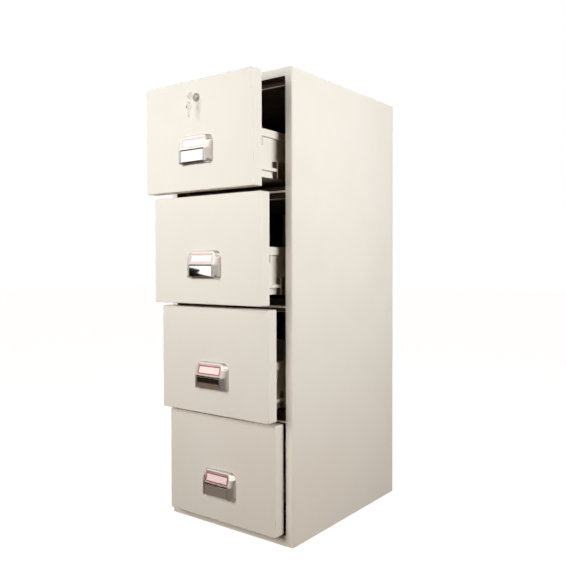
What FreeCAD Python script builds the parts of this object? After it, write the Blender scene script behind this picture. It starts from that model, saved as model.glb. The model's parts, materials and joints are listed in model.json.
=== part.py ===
import FreeCAD, Part
import math
import os
import Sketcher

# Upright fireproof filing cabinet with four drawers that hang on telescopic slides.
# Millimetres. +X is to the right seen from the front, +Y runs from the front to the back,
# +Z is up. The origin is the centre of the base on the floor.

SIZES = {
    "CabinetWidth": 530.0,
    "CabinetHeight": 1495.0,
    "CornerRadius": 5.0,
    "SkinThickness": 1.5,
    "BasePlateThickness": 2.0,
    "LinerThickness": 1.2,
    "StileWidth": 26.0,
    "TopRailHeight": 26.0,
    "BottomRailHeight": 33.0,
    "DividerStripHeight": 6.0,
    "RebateDepth": 46.0,
    "StepWidth": 18.0,
    "BackWallThickness": 44.0,
    "SealWidth": 10.0,
    "SealThickness": 5.0,
    "OpenFirst": 147.0,
    "OpenSecond": 111.0,
    "OpenThird": 77.0,
    "OpenFourth": 42.5,
    "HeadSideGap": 8.0,
    "HeadEndGap": 3.25,
    "HeadThickness": 40.0,
    "HeadCornerRadius": 5.0,
    "HeadEdgeRadius": 2.5,
    "HeadSheet": 1.2,
    "HeadBackPlate": 2.0,
    "TrayFloorGap": 18.25,
    "TrayHeight": 147.5,
    "TraySheet": 1.5,
    "TrayBackGap": 10.0,
    "TrayRimHeight": 24.0,
    "TrayRimProud": 3.0,
    "TrayFootHeight": 13.0,
    "TrayFootProud": 1.0,
    "SlideSpace": 16.0,
    "SlideHeight": 60.0,
    "SlideMetal": 2.5,
    "SlideDrop": 4.0,
    "SlideSetback": 6.0,
    "SlideLength": 530.0,
    "SlideBackGap": 34.0,
    "OuterLip": 9.0,
    "MiddleSetback": 14.0,
    "MiddleLength": 515.0,
    "MiddleTrayGap": 2.0,
    "RunnerHeight": 10.0,
    "BearingLength": 12.0,
    "RunningGap": 0.4,
    "HandleWidth": 139.0,
    "HandleHeight": 90.0,
    "HandleLift": 82.0,
    "HandleDepth": 22.0,
    "HandleFaceInset": 19.0,
    "HandleFootRise": 5.0,
    "HandleBrowHeight": 84.5,
    "HandleBrowDepth": 12.0,
    "HandleTopRadius": 22.0,
    "HandleFootRadius": 7.0,
    "HandleEdgeRadius": 2.0,
    "FlapHalfWidth": 48.0,
    "FlapSideGap": 0.8,
    "FlapHeight": 44.0,
    "FlapThickness": 2.4,
    "FlapFootGap": 1.5,
    "FlapBarrelRadius": 2.6,
    "FlapBarrelGap": 3.2,
    "FlapPivotRadius": 1.5,
    "FlapPivotReach": 2.5,
    "PivotGap": 0.05,
    "FingerDepth": 19.0,
    "LabelHalfWidth": 48.0,
    "LabelHeight": 29.5,
    "LabelRise": 6.0,
    "LabelRecess": 1.6,
    "LabelThickness": 0.8,
    "LabelGap": 0.4,
    "LockDrop": 57.0,
    "BarrelRadius": 9.5,
    "CollarRadius": 13.0,
    "CollarThickness": 2.5,
    "BarrelTail": 2.0,
    "PlugRadius": 6.5,
    "PlugProud": 0.5,
    "CamRadius": 8.5,
    "CamNeckRadius": 4.0,
    "KeyThickness": 2.2,
    "KeyBladeHeight": 7.0,
    "KeyBladeLength": 22.0,
    "KeyShankLength": 12.0,
    "KeySlotGap": 0.1,
    "KeyBowRadius": 12.0,
    "KeyHoleRadius": 2.5,
    "KeyHoleInset": 5.0,
    "SpareBladeLength": 24.0,
    "RingRadius": 11.0,
    "RingWireRadius": 0.9,
    "RingGap": 0.1,
    "BoltHalfWidth": 9.0,
    "BoltDepth": 8.0,
    "BoltSetback": 8.0,
    "BoltTopGap": 4.0,
    "BoltTravel": 12.0,
    "BoltGap": 0.3,
    "BoltCaseWall": 3.0,
    "BoltCaseHeight": 24.0,
    "StrikeGap": 1.5,
    "LugLift": 75.0,
    "LugHeight": 12.0,
    "LugReach": 10.0,
    "LugLength": 8.0,
    "LugInset": 18.0,
    "BarThickness": 6.0,
    "BarWidth": 16.0,
    "BarWallGap": 2.0,
    "BarBackGap": 6.0,
    "BarTravel": 12.0,
    "HookReach": 9.0,
    "HookFinger": 5.0,
    "HookGap": 1.0,
    "HookDropGap": 2.0,
    "HookArmHeight": 8.0,
    "GuideHeight": 20.0,
    "GuideLift": 200.0,
    "GuideGap": 0.3,
    "GuideWall": 3.0,
}

doc = FreeCAD.newDocument("FireproofFilingCabinet")
sheet = doc.addObject("Spreadsheet::Sheet", "Sizes")
for row, (alias, number) in enumerate(SIZES.items(), start=1):
    sheet.set(f"A{row}", alias)
    sheet.set(f"B{row}", str(number))
    sheet.setAlias(f"B{row}", alias)
doc.recompute()


class Size:
    """A length with its value and the spreadsheet formula that it comes from."""

    def __init__(self, formula, value):
        self.formula = formula
        self.value = value

    def __add__(self, other):
        other = as_size(other)
        return Size(f"({self.formula} + {other.formula})", self.value + other.value)

    def __sub__(self, other):
        other = as_size(other)
        return Size(f"({self.formula} - {other.formula})", self.value - other.value)

    def __mul__(self, factor):
        factor = as_size(factor)
        return Size(f"({self.formula} * {factor.formula})", self.value * factor.value)

    def __truediv__(self, divisor):
        divisor = as_size(divisor)
        return Size(f"({self.formula} / {divisor.formula})", self.value / divisor.value)

    def __neg__(self):
        return Size(f"(0 - {self.formula})", -self.value)


def as_size(value):
    return value if isinstance(value, Size) else Size(f"{value}", float(value))


def length(alias):
    return Size(f"Sizes.{alias}", sheet.get(alias))


class Sizes:
    """Every cell of the spreadsheet as a named Size."""


for alias in SIZES:
    setattr(Sizes, alias, length(alias))

NODES = []


def node(piece, label):
    """Names a finished sub-part and puts it on the list that is written out."""
    piece.Label = label
    NODES.append(piece)
    return piece


def block(name, x, y, z):
    """A box between two corners, each side bound to the spreadsheet."""
    box = doc.addObject("Part::Box", name)
    spans = [(as_size(low), as_size(high)) for low, high in (x, y, z)]
    for side, axis, (low, high) in zip(("Length", "Width", "Height"), "xyz", spans):
        box.setExpression(side, (high - low).formula)
        box.setExpression(f"Placement.Base.{axis}", low.formula)
    return box


TURN_TO_AXIS = {
    "x": FreeCAD.Rotation(FreeCAD.Vector(0, 1, 0), 90),
    "y": FreeCAD.Rotation(FreeCAD.Vector(1, 0, 0), -90),
}


def rod(name, axis, start, radius, reach):
    """A cylinder that runs from start along +X or +Y."""
    cylinder = doc.addObject("Part::Cylinder", name)
    cylinder.Placement = FreeCAD.Placement(FreeCAD.Vector(), TURN_TO_AXIS[axis])
    cylinder.setExpression("Radius", as_size(radius).formula)
    cylinder.setExpression("Height", as_size(reach).formula)
    for letter, place in zip("xyz", start):
        cylinder.setExpression(f"Placement.Base.{letter}", as_size(place).formula)
    return cylinder


def joined(name, *pieces):
    fusion = doc.addObject("Part::MultiFuse", name)
    fusion.Shapes = list(pieces)
    fusion.Refine = True
    return fusion


def cut(name, base, *tools):
    for index, tool in enumerate(tools, start=1):
        result = doc.addObject("Part::Cut", f"{name}_cut_{index}")
        result.Base = base
        result.Tool = tool
        base = result
    return base


def grouped(name, pieces):
    group = doc.addObject("Part::Compound", name)
    group.Links = list(pieces)
    return group


def mirrored(name, piece):
    """The same piece on the other side of the cabinet's middle plane."""
    mirror = doc.addObject("Part::Mirroring", name)
    mirror.Source = piece
    mirror.Normal = (1, 0, 0)
    mirror.Base = (0, 0, 0)
    return mirror


# A sketch on the XZ plane looks along +Y, so its normal is -Y.
PLANES = {"XY": ("XY_Plane", 1), "XZ": ("XZ_Plane", -1), "YZ": ("YZ_Plane", 1)}


def new_body(name):
    return doc.addObject("PartDesign::Body", name)


def outline(body, plane, place, points):
    """A closed sketch of straight lines whose corners are bound to the spreadsheet."""
    role, sense = PLANES[plane]
    sketch = body.newObject("Sketcher::SketchObject", "Outline")
    face = next(item for item in body.Origin.OriginFeatures if item.Role == role)
    sketch.AttachmentSupport = (face, [""])
    sketch.MapMode = "FlatFace"
    sketch.setExpression("AttachmentOffset.Base.z", (as_size(place) * sense).formula)
    corners = [(as_size(across), as_size(up)) for across, up in points]
    vectors = [FreeCAD.Vector(across.value, up.value, 0) for across, up in corners]
    for start, end in zip(vectors, vectors[1:] + vectors[:1]):
        sketch.addGeometry(Part.LineSegment(start, end), False)
    for index in range(len(corners)):
        following = (index + 1) % len(corners)
        sketch.addConstraint(Sketcher.Constraint("Coincident", index, 2, following, 1))
    for index, corner in enumerate(corners):
        for kind, size in zip(("DistanceX", "DistanceY"), corner):
            limit = Sketcher.Constraint(kind, -1, 1, index, 1, size.value)
            number = sketch.addConstraint(limit)
            sketch.setExpression(f"Constraints[{number}]", size.formula)
    return sketch


def pad(body, plane, low, high, points):
    """Adds the outline between two places on the axis that the plane faces."""
    low, high = as_size(low), as_size(high)
    start = high if plane == "XZ" else low
    feature = body.newObject("PartDesign::Pad", "Pad")
    feature.Profile = outline(body, plane, start, points)
    feature.setExpression("Length", (high - low).formula)
    doc.recompute()
    return feature


def pocket(body, plane, low, high, points):
    """Cuts the outline out between two places on the axis that the plane faces."""
    low, high = as_size(low), as_size(high)
    start = low if plane == "XZ" else high
    before = body.Shape.Volume
    feature = body.newObject("PartDesign::Pocket", "Pocket")
    feature.Profile = outline(body, plane, start, points)
    feature.setExpression("Length", (high - low).formula)
    doc.recompute()
    if not body.Shape.Volume < before:
        raise RuntimeError(f"pocket in {body.Name} cuts nothing")
    return feature


def round_edges(body, radius, wanted):
    """Rounds the edges of the body that the test named wanted picks."""
    base = body.Tip
    names = [f"Edge{number}" for number, edge in enumerate(base.Shape.Edges, start=1) if wanted(edge)]
    fillet = body.newObject("PartDesign::Fillet", "Fillet")
    fillet.Base = (base, names)
    fillet.setExpression("Radius", as_size(radius).formula)
    doc.recompute()
    return fillet


def runs_along(edge, axis):
    """True for a straight edge along the axis."""
    straight = isinstance(edge.Curve, (Part.Line, Part.LineSegment))
    ends = [vertex.Point for vertex in edge.Vertexes]
    if not straight or len(ends) != 2:
        return False
    direction = (ends[1] - ends[0]).normalize()
    return abs(getattr(direction, axis)) > 0.999


def lies_at(edge, axis, place):
    """True for an edge that stays at one place on the axis."""
    box = edge.BoundBox
    low = getattr(box, f"{axis.upper()}Min")
    high = getattr(box, f"{axis.upper()}Max")
    return abs(low - place.value) < 0.01 and abs(high - place.value) < 0.01


def rectangle(x, z):
    return [(x[0], z[0]), (x[1], z[0]), (x[1], z[1]), (x[0], z[1])]


# Planes of the carcass, which is as deep as its slides need
half_width = Sizes.CabinetWidth / 2
slide_room = Sizes.SlideSetback + Sizes.SlideLength + Sizes.SlideBackGap
depth = Sizes.RebateDepth + slide_room + Sizes.BackWallThickness
front = -depth / 2
back = depth / 2
top = Sizes.CabinetHeight
inside_skin = half_width - Sizes.SkinThickness
bay_half = half_width - Sizes.StileWidth
bay_sheet_half = bay_half + Sizes.LinerThickness
liner_half = bay_half - Sizes.StepWidth
liner_sheet_half = liner_half + Sizes.LinerThickness
skin_front = front + Sizes.SkinThickness
skin_back = back - Sizes.SkinThickness
skin_top = top - Sizes.SkinThickness
step_front = front + Sizes.RebateDepth
step_back = step_front + Sizes.LinerThickness
liner_back = back - Sizes.BackWallThickness
liner_sheet_back = liner_back + Sizes.LinerThickness

OPENINGS = [Sizes.OpenFirst, Sizes.OpenSecond, Sizes.OpenThird, Sizes.OpenFourth]
DRAWERS = range(1, len(OPENINGS) + 1)
rail_heights = Sizes.TopRailHeight + Sizes.BottomRailHeight
pitch = (top - rail_heights + Sizes.DividerStripHeight) / len(OPENINGS)
bay_height = pitch - Sizes.DividerStripHeight


def bay_top(number):
    return top - Sizes.TopRailHeight - pitch * (number - 1)


def bay_bottom(number):
    return bay_top(number) - bay_height


def liner_top(number):
    return bay_top(number) - Sizes.StepWidth


def liner_floor(number):
    return bay_bottom(number) + Sizes.StepWidth


# Planes of a drawer at its photographed opening
head_half = bay_half - Sizes.HeadSideGap
tray_half = liner_half - Sizes.SlideSpace


def head_front(number):
    return front - OPENINGS[number - 1]


def head_back(number):
    return head_front(number) + Sizes.HeadThickness


def head_bottom(number):
    return bay_bottom(number) + Sizes.HeadEndGap


def head_top(number):
    return bay_top(number) - Sizes.HeadEndGap


def tray_floor(number):
    return liner_floor(number) + Sizes.TrayFloorGap


def tray_back(number):
    return liner_back - Sizes.TrayBackGap - OPENINGS[number - 1]


# Vertical lock bar behind the left slides, and the slot that it needs in what it passes
bar_left = -liner_half + Sizes.BarWallGap
bar_right = bar_left + Sizes.BarThickness
bar_back = liner_back - Sizes.BarBackGap
bar_front = bar_back - Sizes.BarWidth
bar_slot_x = (-liner_half, bar_right + Sizes.BarWallGap)
bar_slot_y = (bar_front - Sizes.BarWallGap, bar_back + Sizes.BarWallGap)

# Lock of the first drawer, on the drawer's middle line
lock_z = head_top(1) - Sizes.LockDrop
bolt_front = head_back(1) + Sizes.BoltSetback
bolt_back = bolt_front + Sizes.BoltDepth
strike_x = (-Sizes.BoltHalfWidth - Sizes.StrikeGap, Sizes.BoltHalfWidth + Sizes.StrikeGap)
strike_y = (bolt_front + Sizes.OpenFirst - Sizes.StrikeGap, bolt_back + Sizes.OpenFirst + Sizes.StrikeGap)
strike_top = liner_top(1) - Sizes.BoltTopGap + Sizes.BoltTravel + Sizes.StrikeGap


def make_outer_wrap():
    """Folded steel jacket: two sides and the top, turned in at the front as stiles and top rail."""
    body = new_body("WrapBody")
    pad(body, "XY", 0, top, rectangle((-half_width, half_width), (front, back)))

    def soft_edge(edge):
        upright = runs_along(edge, "z") and lies_at(edge, "y", front)
        return upright or (runs_along(edge, "y") and lies_at(edge, "z", top))

    round_edges(body, Sizes.CornerRadius, soft_edge)
    pocket(body, "XY", 0, skin_top, rectangle((-inside_skin, inside_skin), (skin_front, back)))
    pocket(body, "XZ", front, skin_front, rectangle((-bay_half, bay_half), (0, top - Sizes.TopRailHeight)))
    node(body, "outer_wrap")


def make_back_panel():
    """Flat steel sheet that closes the jacket behind."""
    panel = block("BackPanel", (-inside_skin, inside_skin), (skin_back, back), (0, skin_top))
    node(panel, "back_panel")


def make_base_pan():
    """Floor plate with the apron that shows as the bottom rail."""
    plate_z = (0, Sizes.BasePlateThickness)
    plate = block("BasePlate", (-inside_skin, inside_skin), (skin_front, skin_back), plate_z)
    apron = block("BaseApron", (-bay_half, bay_half), (front, skin_front), (0, Sizes.BottomRailHeight))
    node(joined("BasePan", plate, apron), "base_pan")


def make_insulation():
    """Cast gypsum slabs between the jacket and the steel liners."""
    last = len(OPENINGS)
    side_points = [
        (bay_sheet_half, skin_front),
        (inside_skin, skin_front),
        (inside_skin, skin_back),
        (liner_sheet_half, skin_back),
        (liner_sheet_half, step_back),
        (bay_sheet_half, step_back),
    ]
    right = new_body("RightSlabBody")
    pad(right, "XY", Sizes.BasePlateThickness, skin_top, side_points)
    node(right, "insulation_right")
    left = new_body("LeftSlabBody")
    pad(left, "XY", Sizes.BasePlateThickness, skin_top, [(-across, along) for across, along in side_points])
    node(left, "insulation_left")

    roof_points = [
        (skin_front, bay_top(1) + Sizes.LinerThickness),
        (step_back, bay_top(1) + Sizes.LinerThickness),
        (step_back, liner_top(1) + Sizes.LinerThickness),
        (skin_back, liner_top(1) + Sizes.LinerThickness),
        (skin_back, skin_top),
        (skin_front, skin_top),
    ]
    roof = new_body("TopSlabBody")
    pad(roof, "YZ", -liner_sheet_half, liner_sheet_half, roof_points)
    strike_z = (liner_top(1) + Sizes.LinerThickness, strike_top)
    pocket(roof, "XY", strike_z[0], strike_z[1], rectangle(strike_x, strike_y))
    node(roof, "insulation_top")

    base_points = [
        (skin_front, Sizes.BasePlateThickness),
        (skin_back, Sizes.BasePlateThickness),
        (skin_back, liner_floor(last) - Sizes.LinerThickness),
        (step_back, liner_floor(last) - Sizes.LinerThickness),
        (step_back, bay_bottom(last) - Sizes.LinerThickness),
        (skin_front, bay_bottom(last) - Sizes.LinerThickness),
    ]
    base = new_body("BaseSlabBody")
    pad(base, "YZ", -liner_sheet_half, liner_sheet_half, base_points)
    node(base, "insulation_base")

    height = (liner_floor(last) - Sizes.LinerThickness, liner_top(1) + Sizes.LinerThickness)
    rear = block("BackSlab", (-liner_sheet_half, liner_sheet_half), (liner_sheet_back, skin_back), height)
    node(rear, "insulation_back")


def make_dividers():
    """Insulated shelf between each two bays, with the steel strip that covers its front edge."""
    strips = []
    for upper in DRAWERS[:-1]:
        lower = upper + 1
        height = (liner_top(lower) + Sizes.LinerThickness, liner_floor(upper) - Sizes.LinerThickness)
        width = (-liner_sheet_half, liner_sheet_half)
        slab = block(f"Divider{upper}", width, (step_back, liner_sheet_back), height)
        slot = block(f"DividerSlot{upper}", bar_slot_x, bar_slot_y, height)
        node(cut(f"Divider{upper}", slab, slot), f"divider_core_{upper}")

        strip_z = (bay_top(lower), bay_bottom(upper))
        web_z = (bay_top(lower) + Sizes.LinerThickness, bay_bottom(upper) - Sizes.LinerThickness)
        face = block(f"StripFace{upper}", (-bay_half, bay_half), (front, skin_front), strip_z)
        web = block(f"StripWeb{upper}", (-bay_half, bay_half), (skin_front, step_back), web_z)
        strips.append(joined(f"Strip{upper}", face, web))
    node(grouped("Strips", strips), "divider_strips")


def make_liners():
    """Pressed steel tub of each bay: a rebate for the drawer head, a step, and the drawer's space."""
    seals = []
    for number in DRAWERS:
        ceiling, floor = bay_top(number), bay_bottom(number)
        sheet_z = (floor - Sizes.LinerThickness, ceiling + Sizes.LinerThickness)
        tub_z = (liner_floor(number), liner_top(number))
        tub_sheet_z = (tub_z[0] - Sizes.LinerThickness, tub_z[1] + Sizes.LinerThickness)
        mouth_x = (-bay_sheet_half, bay_sheet_half)
        mouth = block(f"Mouth{number}", mouth_x, (skin_front, step_back), sheet_z)
        tub_x = (-liner_sheet_half, liner_sheet_half)
        tub = block(f"Tub{number}", tub_x, (step_front, liner_sheet_back), tub_sheet_z)
        rebate_y = (skin_front, step_front)
        rebate = block(f"Rebate{number}", (-bay_half, bay_half), rebate_y, (floor, ceiling))
        space = block(f"Space{number}", (-liner_half, liner_half), (skin_front, liner_back), tub_z)
        tools = [rebate, space]
        if number != DRAWERS[-1]:
            low = (tub_sheet_z[0], tub_z[0])
            tools.append(block(f"FloorSlot{number}", bar_slot_x, bar_slot_y, low))
        if number != DRAWERS[0]:
            high = (tub_z[1], tub_sheet_z[1])
            tools.append(block(f"CeilingSlot{number}", bar_slot_x, bar_slot_y, high))
        if number == DRAWERS[0]:
            tools.append(block("StrikeHole", strike_x, strike_y, (tub_z[1], tub_sheet_z[1])))
        shell = joined(f"Shell{number}", mouth, tub)
        node(cut(f"Liner{number}", shell, *tools), f"bay_liner_{number}")

        margin = (Sizes.StepWidth - Sizes.SealWidth) / 2
        outer_half, inner_half = bay_half - margin, liner_half + margin
        seal_y = (step_front - Sizes.SealThickness, step_front)
        ring_z = (floor + margin, ceiling - margin)
        ring = block(f"SealRing{number}", (-outer_half, outer_half), seal_y, ring_z)
        hole_z = (tub_z[0] - margin, tub_z[1] + margin)
        hole = block(f"SealHole{number}", (-inner_half, inner_half), seal_y, hole_z)
        seals.append(cut(f"Seal{number}", ring, hole))
    node(grouped("Seals", seals), "bay_seals")


# Heights and depths across one telescopic slide
runner_reach = liner_half - (Sizes.SlideMetal + Sizes.RunningGap) * 2
middle_web = liner_half - Sizes.SlideMetal - Sizes.RunningGap
middle_lip = tray_half + Sizes.MiddleTrayGap


def slide_middle(number):
    return tray_floor(number) - Sizes.SlideDrop + Sizes.SlideHeight / 2


def channel(name, x, y, z):
    """Steel channel that lies on its back against the cabinet wall and opens inwards."""
    metal = Sizes.SlideMetal
    bar = block(f"{name}Bar", x, y, z)
    hollow = block(f"{name}Hollow", (x[0], x[1] - metal), y, (z[0] + metal, z[1] - metal))
    return cut(name, bar, hollow)


def make_outer_slides():
    """Slide members screwed to the liner, a pair for each drawer."""
    members = []
    for number in DRAWERS:
        start = step_front + Sizes.SlideSetback
        span = (start, start + Sizes.SlideLength)
        low = tray_floor(number) - Sizes.SlideDrop
        width = (liner_half - Sizes.OuterLip, liner_half)
        right = channel(f"OuterSlide{number}", width, span, (low, low + Sizes.SlideHeight))
        members += [right, mirrored(f"OuterSlideLeft{number}", right)]
    node(grouped("OuterSlides", members), "outer_slides")


def make_middle_slides(number):
    """Travelling slide members with the bearing blocks that grip the drawer's runner."""
    start = step_front + Sizes.MiddleSetback - OPENINGS[number - 1] / 2
    end = start + Sizes.MiddleLength
    half = Sizes.SlideHeight / 2 - Sizes.SlideMetal - Sizes.RunningGap
    centre = slide_middle(number)
    height = (centre - half, centre + half)
    member = channel(f"MiddleSlide{number}", (middle_lip, middle_web), (start, end), height)
    grip = Sizes.RunnerHeight / 2 + Sizes.RunningGap
    inner = half - Sizes.SlideMetal
    pieces = [member]
    spans = [(start, start + Sizes.BearingLength), (end - Sizes.BearingLength, end)]
    levels = [(centre - inner, centre - grip), (centre + grip, centre + inner)]
    for place, span in enumerate(spans):
        for level, z in enumerate(levels):
            width = (middle_lip, middle_web - Sizes.SlideMetal)
            pieces.append(block(f"Bearing{number}_{place}_{level}", width, span, z))
    right = joined(f"MiddleSlideRight{number}", *pieces)
    pair = [right, mirrored(f"MiddleSlideLeft{number}", right)]
    node(grouped(f"MiddleSlides{number}", pair), f"middle_slides_{number}")


LOCK_HOLE_SIDES = 8


def lock_hole(body, number, low, high):
    """Eight-sided hole whose flats touch the barrel, in the first drawer's head."""
    if number != 1:
        return
    half_side = math.pi / LOCK_HOLE_SIDES
    reach = Sizes.BarrelRadius / math.cos(half_side)
    corners = []
    for side in range(LOCK_HOLE_SIDES):
        angle = (side * 2 + 1) * half_side
        corners.append((reach * math.cos(angle), lock_z + reach * math.sin(angle)))
    pocket(body, "XZ", low, high, corners)


def make_head(number):
    """Drawer head: a pressed steel pan filled with gypsum and closed by a back plate."""
    face, rear = head_front(number), head_back(number)
    width = (-head_half, head_half)
    height = (head_bottom(number), head_top(number))

    def corner(edge):
        return runs_along(edge, "y")

    pan = new_body(f"PanBody{number}")
    pad(pan, "XZ", face, rear, rectangle(width, height))
    round_edges(pan, Sizes.HeadCornerRadius, corner)
    round_edges(pan, Sizes.HeadEdgeRadius, lambda edge: lies_at(edge, "y", face))
    metal = Sizes.HeadSheet
    inside_x = (width[0] + metal, width[1] - metal)
    inside_z = (height[0] + metal, height[1] - metal)
    inner_radius = Sizes.HeadCornerRadius - metal

    core = new_body(f"CoreBody{number}")
    plate_front = rear - Sizes.HeadBackPlate
    pad(core, "XZ", face + metal, plate_front, rectangle(inside_x, inside_z))
    round_edges(core, inner_radius, corner)

    plate = new_body(f"PlateBody{number}")
    pad(plate, "XZ", plate_front, rear, rectangle(inside_x, inside_z))
    round_edges(plate, inner_radius, corner)

    filling = new_body(f"PanSpace{number}")
    pad(filling, "XZ", face + metal, rear, rectangle(inside_x, inside_z))
    round_edges(filling, inner_radius, corner)
    lock_hole(pan, number, face, face + metal)
    lock_hole(core, number, face + metal, plate_front)
    lock_hole(plate, number, plate_front, rear)
    node(cut(f"Pan{number}", pan, filling), f"drawer_front_{number}")
    node(core, f"drawer_core_{number}")
    node(plate, f"drawer_back_plate_{number}")


def make_tray(number):
    """Welded tray with a turned rim, a foot flange, the two runners and the lug for the lock bar."""
    floor = tray_floor(number)
    rim_top = floor + Sizes.TrayHeight
    start, end = head_back(number), tray_back(number)
    rim_half = tray_half + Sizes.TrayRimProud
    foot_half = tray_half + Sizes.TrayFootProud
    rim_z = (rim_top - Sizes.TrayRimHeight, rim_top)
    foot_z = (floor, floor + Sizes.TrayFootHeight)
    walls = block(f"TrayWalls{number}", (-tray_half, tray_half), (start, end), (floor, rim_top))
    rim = block(f"TrayRim{number}", (-rim_half, rim_half), (start, end), rim_z)
    foot = block(f"TrayFoot{number}", (-foot_half, foot_half), (start, end), foot_z)
    lug_back = end - Sizes.LugInset
    lug_x = (-tray_half - Sizes.LugReach, -tray_half)
    lug_z = (floor + Sizes.LugLift, floor + Sizes.LugLift + Sizes.LugHeight)
    lug = block(f"TrayLug{number}", lug_x, (lug_back - Sizes.LugLength, lug_back), lug_z)
    inside_x = (-tray_half + Sizes.TraySheet, tray_half - Sizes.TraySheet)
    inside_y = (start + Sizes.TraySheet, end - Sizes.TraySheet)
    inside = block(f"TrayInside{number}", inside_x, inside_y, (floor + Sizes.TraySheet, rim_top))
    tray = cut(f"Tray{number}", joined(f"TrayShell{number}", walls, rim, foot), inside)

    centre = slide_middle(number)
    runner_start = step_front + Sizes.SlideSetback - OPENINGS[number - 1]
    span = (runner_start, runner_start + Sizes.SlideLength)
    z = (centre - Sizes.RunnerHeight / 2, centre + Sizes.RunnerHeight / 2)
    right = block(f"Runner{number}", (tray_half, runner_reach), span, z)
    pieces = [tray, lug, right, mirrored(f"RunnerLeft{number}", right)]
    node(grouped(f"TrayWithRunners{number}", pieces), f"drawer_tray_{number}")


def label_face_point(number, along, depth):
    """A point on the leaning label face of a handle: along the slope, and depth into the housing."""
    run = Sizes.HandleDepth - Sizes.HandleBrowDepth
    rise = Sizes.HandleBrowHeight - Sizes.FlapHeight
    slope = math.hypot(run.value, rise.value)
    unit_y, unit_z = run / slope, rise / slope
    face = head_front(number)
    foot_y = face - Sizes.HandleDepth
    foot_z = head_bottom(number) + Sizes.HandleLift + Sizes.FlapHeight
    return (foot_y + unit_y * along + unit_z * depth, foot_z + unit_z * along - unit_y * depth)


def label_band(number, low, high, outer, inner):
    """Four corners of a strip that lies along the label face."""
    return [
        label_face_point(number, low, outer),
        label_face_point(number, high, outer),
        label_face_point(number, high, inner),
        label_face_point(number, low, inner),
    ]


# An edge that changes less than this along an axis counts as square to it
LEAST_SLANT = 0.5


def make_handle(number):
    """Cast pull housing with its leaning label holder, and the sprung chrome finger flap under it."""
    face = head_front(number)
    foot = head_bottom(number) + Sizes.HandleLift
    crown = foot + Sizes.HandleHeight
    nose = face - Sizes.HandleDepth
    base_half = Sizes.HandleWidth / 2
    nose_half = base_half - Sizes.HandleFaceInset
    body = new_body(f"HandleBody{number}")
    base = outline(body, "XZ", face, rectangle((-base_half, base_half), (foot, crown)))
    nose_z = (foot + Sizes.HandleFootRise, foot + Sizes.HandleBrowHeight)
    tip = outline(body, "XZ", nose, rectangle((-nose_half, nose_half), nose_z))
    loft = body.newObject("PartDesign::AdditiveLoft", "Loft")
    loft.Profile = base
    loft.Sections = [tip]
    loft.Ruled = True
    doc.recompute()

    def slanted(edge, above):
        """True for an edge that runs out from a corner of the base, high up or low down."""
        box = edge.BoundBox
        ends = [vertex.Point for vertex in edge.Vertexes]
        if min(box.XLength, box.YLength, box.ZLength) < LEAST_SLANT:
            return False
        high = min(point.z for point in ends) > foot.value + Sizes.HandleBrowHeight.value / 2
        reaches_head = max(point.y for point in ends) > face.value - LEAST_SLANT
        return reaches_head and high == above

    round_edges(body, Sizes.HandleTopRadius, lambda edge: slanted(edge, True))
    round_edges(body, Sizes.HandleFootRadius, lambda edge: slanted(edge, False))

    brow_cut = [
        (nose, foot + Sizes.FlapHeight),
        label_face_point(number, Sizes.HandleHeight, 0),
        (nose - Sizes.HandleDepth, crown + Sizes.HandleHeight),
        (nose - Sizes.HandleDepth, foot + Sizes.FlapHeight),
    ]
    pocket(body, "YZ", -base_half, base_half, brow_cut)

    recess_half = Sizes.FlapHalfWidth + Sizes.FlapSideGap
    barrel_z = foot + Sizes.FlapHeight - Sizes.FlapBarrelRadius - Sizes.FlapBarrelGap
    barrel_y = nose + Sizes.FlapBarrelRadius
    recess_top = foot + Sizes.FlapHeight
    recess_y = (nose, nose + Sizes.FingerDepth)
    pocket(body, "XY", foot, recess_top, rectangle((-recess_half, recess_half), recess_y))
    window_top = Sizes.LabelRise + Sizes.LabelHeight
    window = label_band(number, Sizes.LabelRise, window_top, -Sizes.LabelRecess, Sizes.LabelRecess)
    pocket(body, "YZ", -Sizes.LabelHalfWidth, Sizes.LabelHalfWidth, window)

    pivot_half = Sizes.FlapHalfWidth + Sizes.FlapPivotReach
    hole_half = pivot_half + Sizes.FlapSideGap
    hole_radius = Sizes.FlapPivotRadius + Sizes.PivotGap
    hole = rod(f"PivotHole{number}", "x", (-hole_half, barrel_y, barrel_z), hole_radius, hole_half * 2)
    node(cut(f"Handle{number}", body, hole), f"handle_{number}")

    half = Sizes.FlapHalfWidth
    flap_foot = foot + Sizes.HandleFootRise + Sizes.FlapFootGap
    plate_back = nose + Sizes.FlapThickness
    plate = block(f"FlapPlate{number}", (-half, half), (nose, plate_back), (flap_foot, barrel_z))
    lip_top = flap_foot + Sizes.FlapThickness
    lip_y = (nose, plate_back + Sizes.FlapThickness)
    lip = block(f"FlapLip{number}", (-half, half), lip_y, (flap_foot, lip_top))
    barrel = rod(f"FlapBarrel{number}", "x", (-half, barrel_y, barrel_z), Sizes.FlapBarrelRadius, half * 2)
    pivot_start = (-pivot_half, barrel_y, barrel_z)
    pivot = rod(f"FlapPivot{number}", "x", pivot_start, Sizes.FlapPivotRadius, pivot_half * 2)
    node(joined(f"Flap{number}", plate, lip, barrel, pivot), f"handle_flap_{number}")

    card = new_body(f"CardBody{number}")
    card_half = Sizes.LabelHalfWidth - Sizes.LabelGap
    low = Sizes.LabelRise + Sizes.LabelGap
    high = Sizes.LabelRise + Sizes.LabelHeight - Sizes.LabelGap
    card_face = Sizes.LabelRecess - Sizes.LabelThickness
    pad(card, "YZ", -card_half, card_half, label_band(number, low, high, card_face, Sizes.LabelRecess))
    node(card, f"label_card_{number}")


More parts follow.
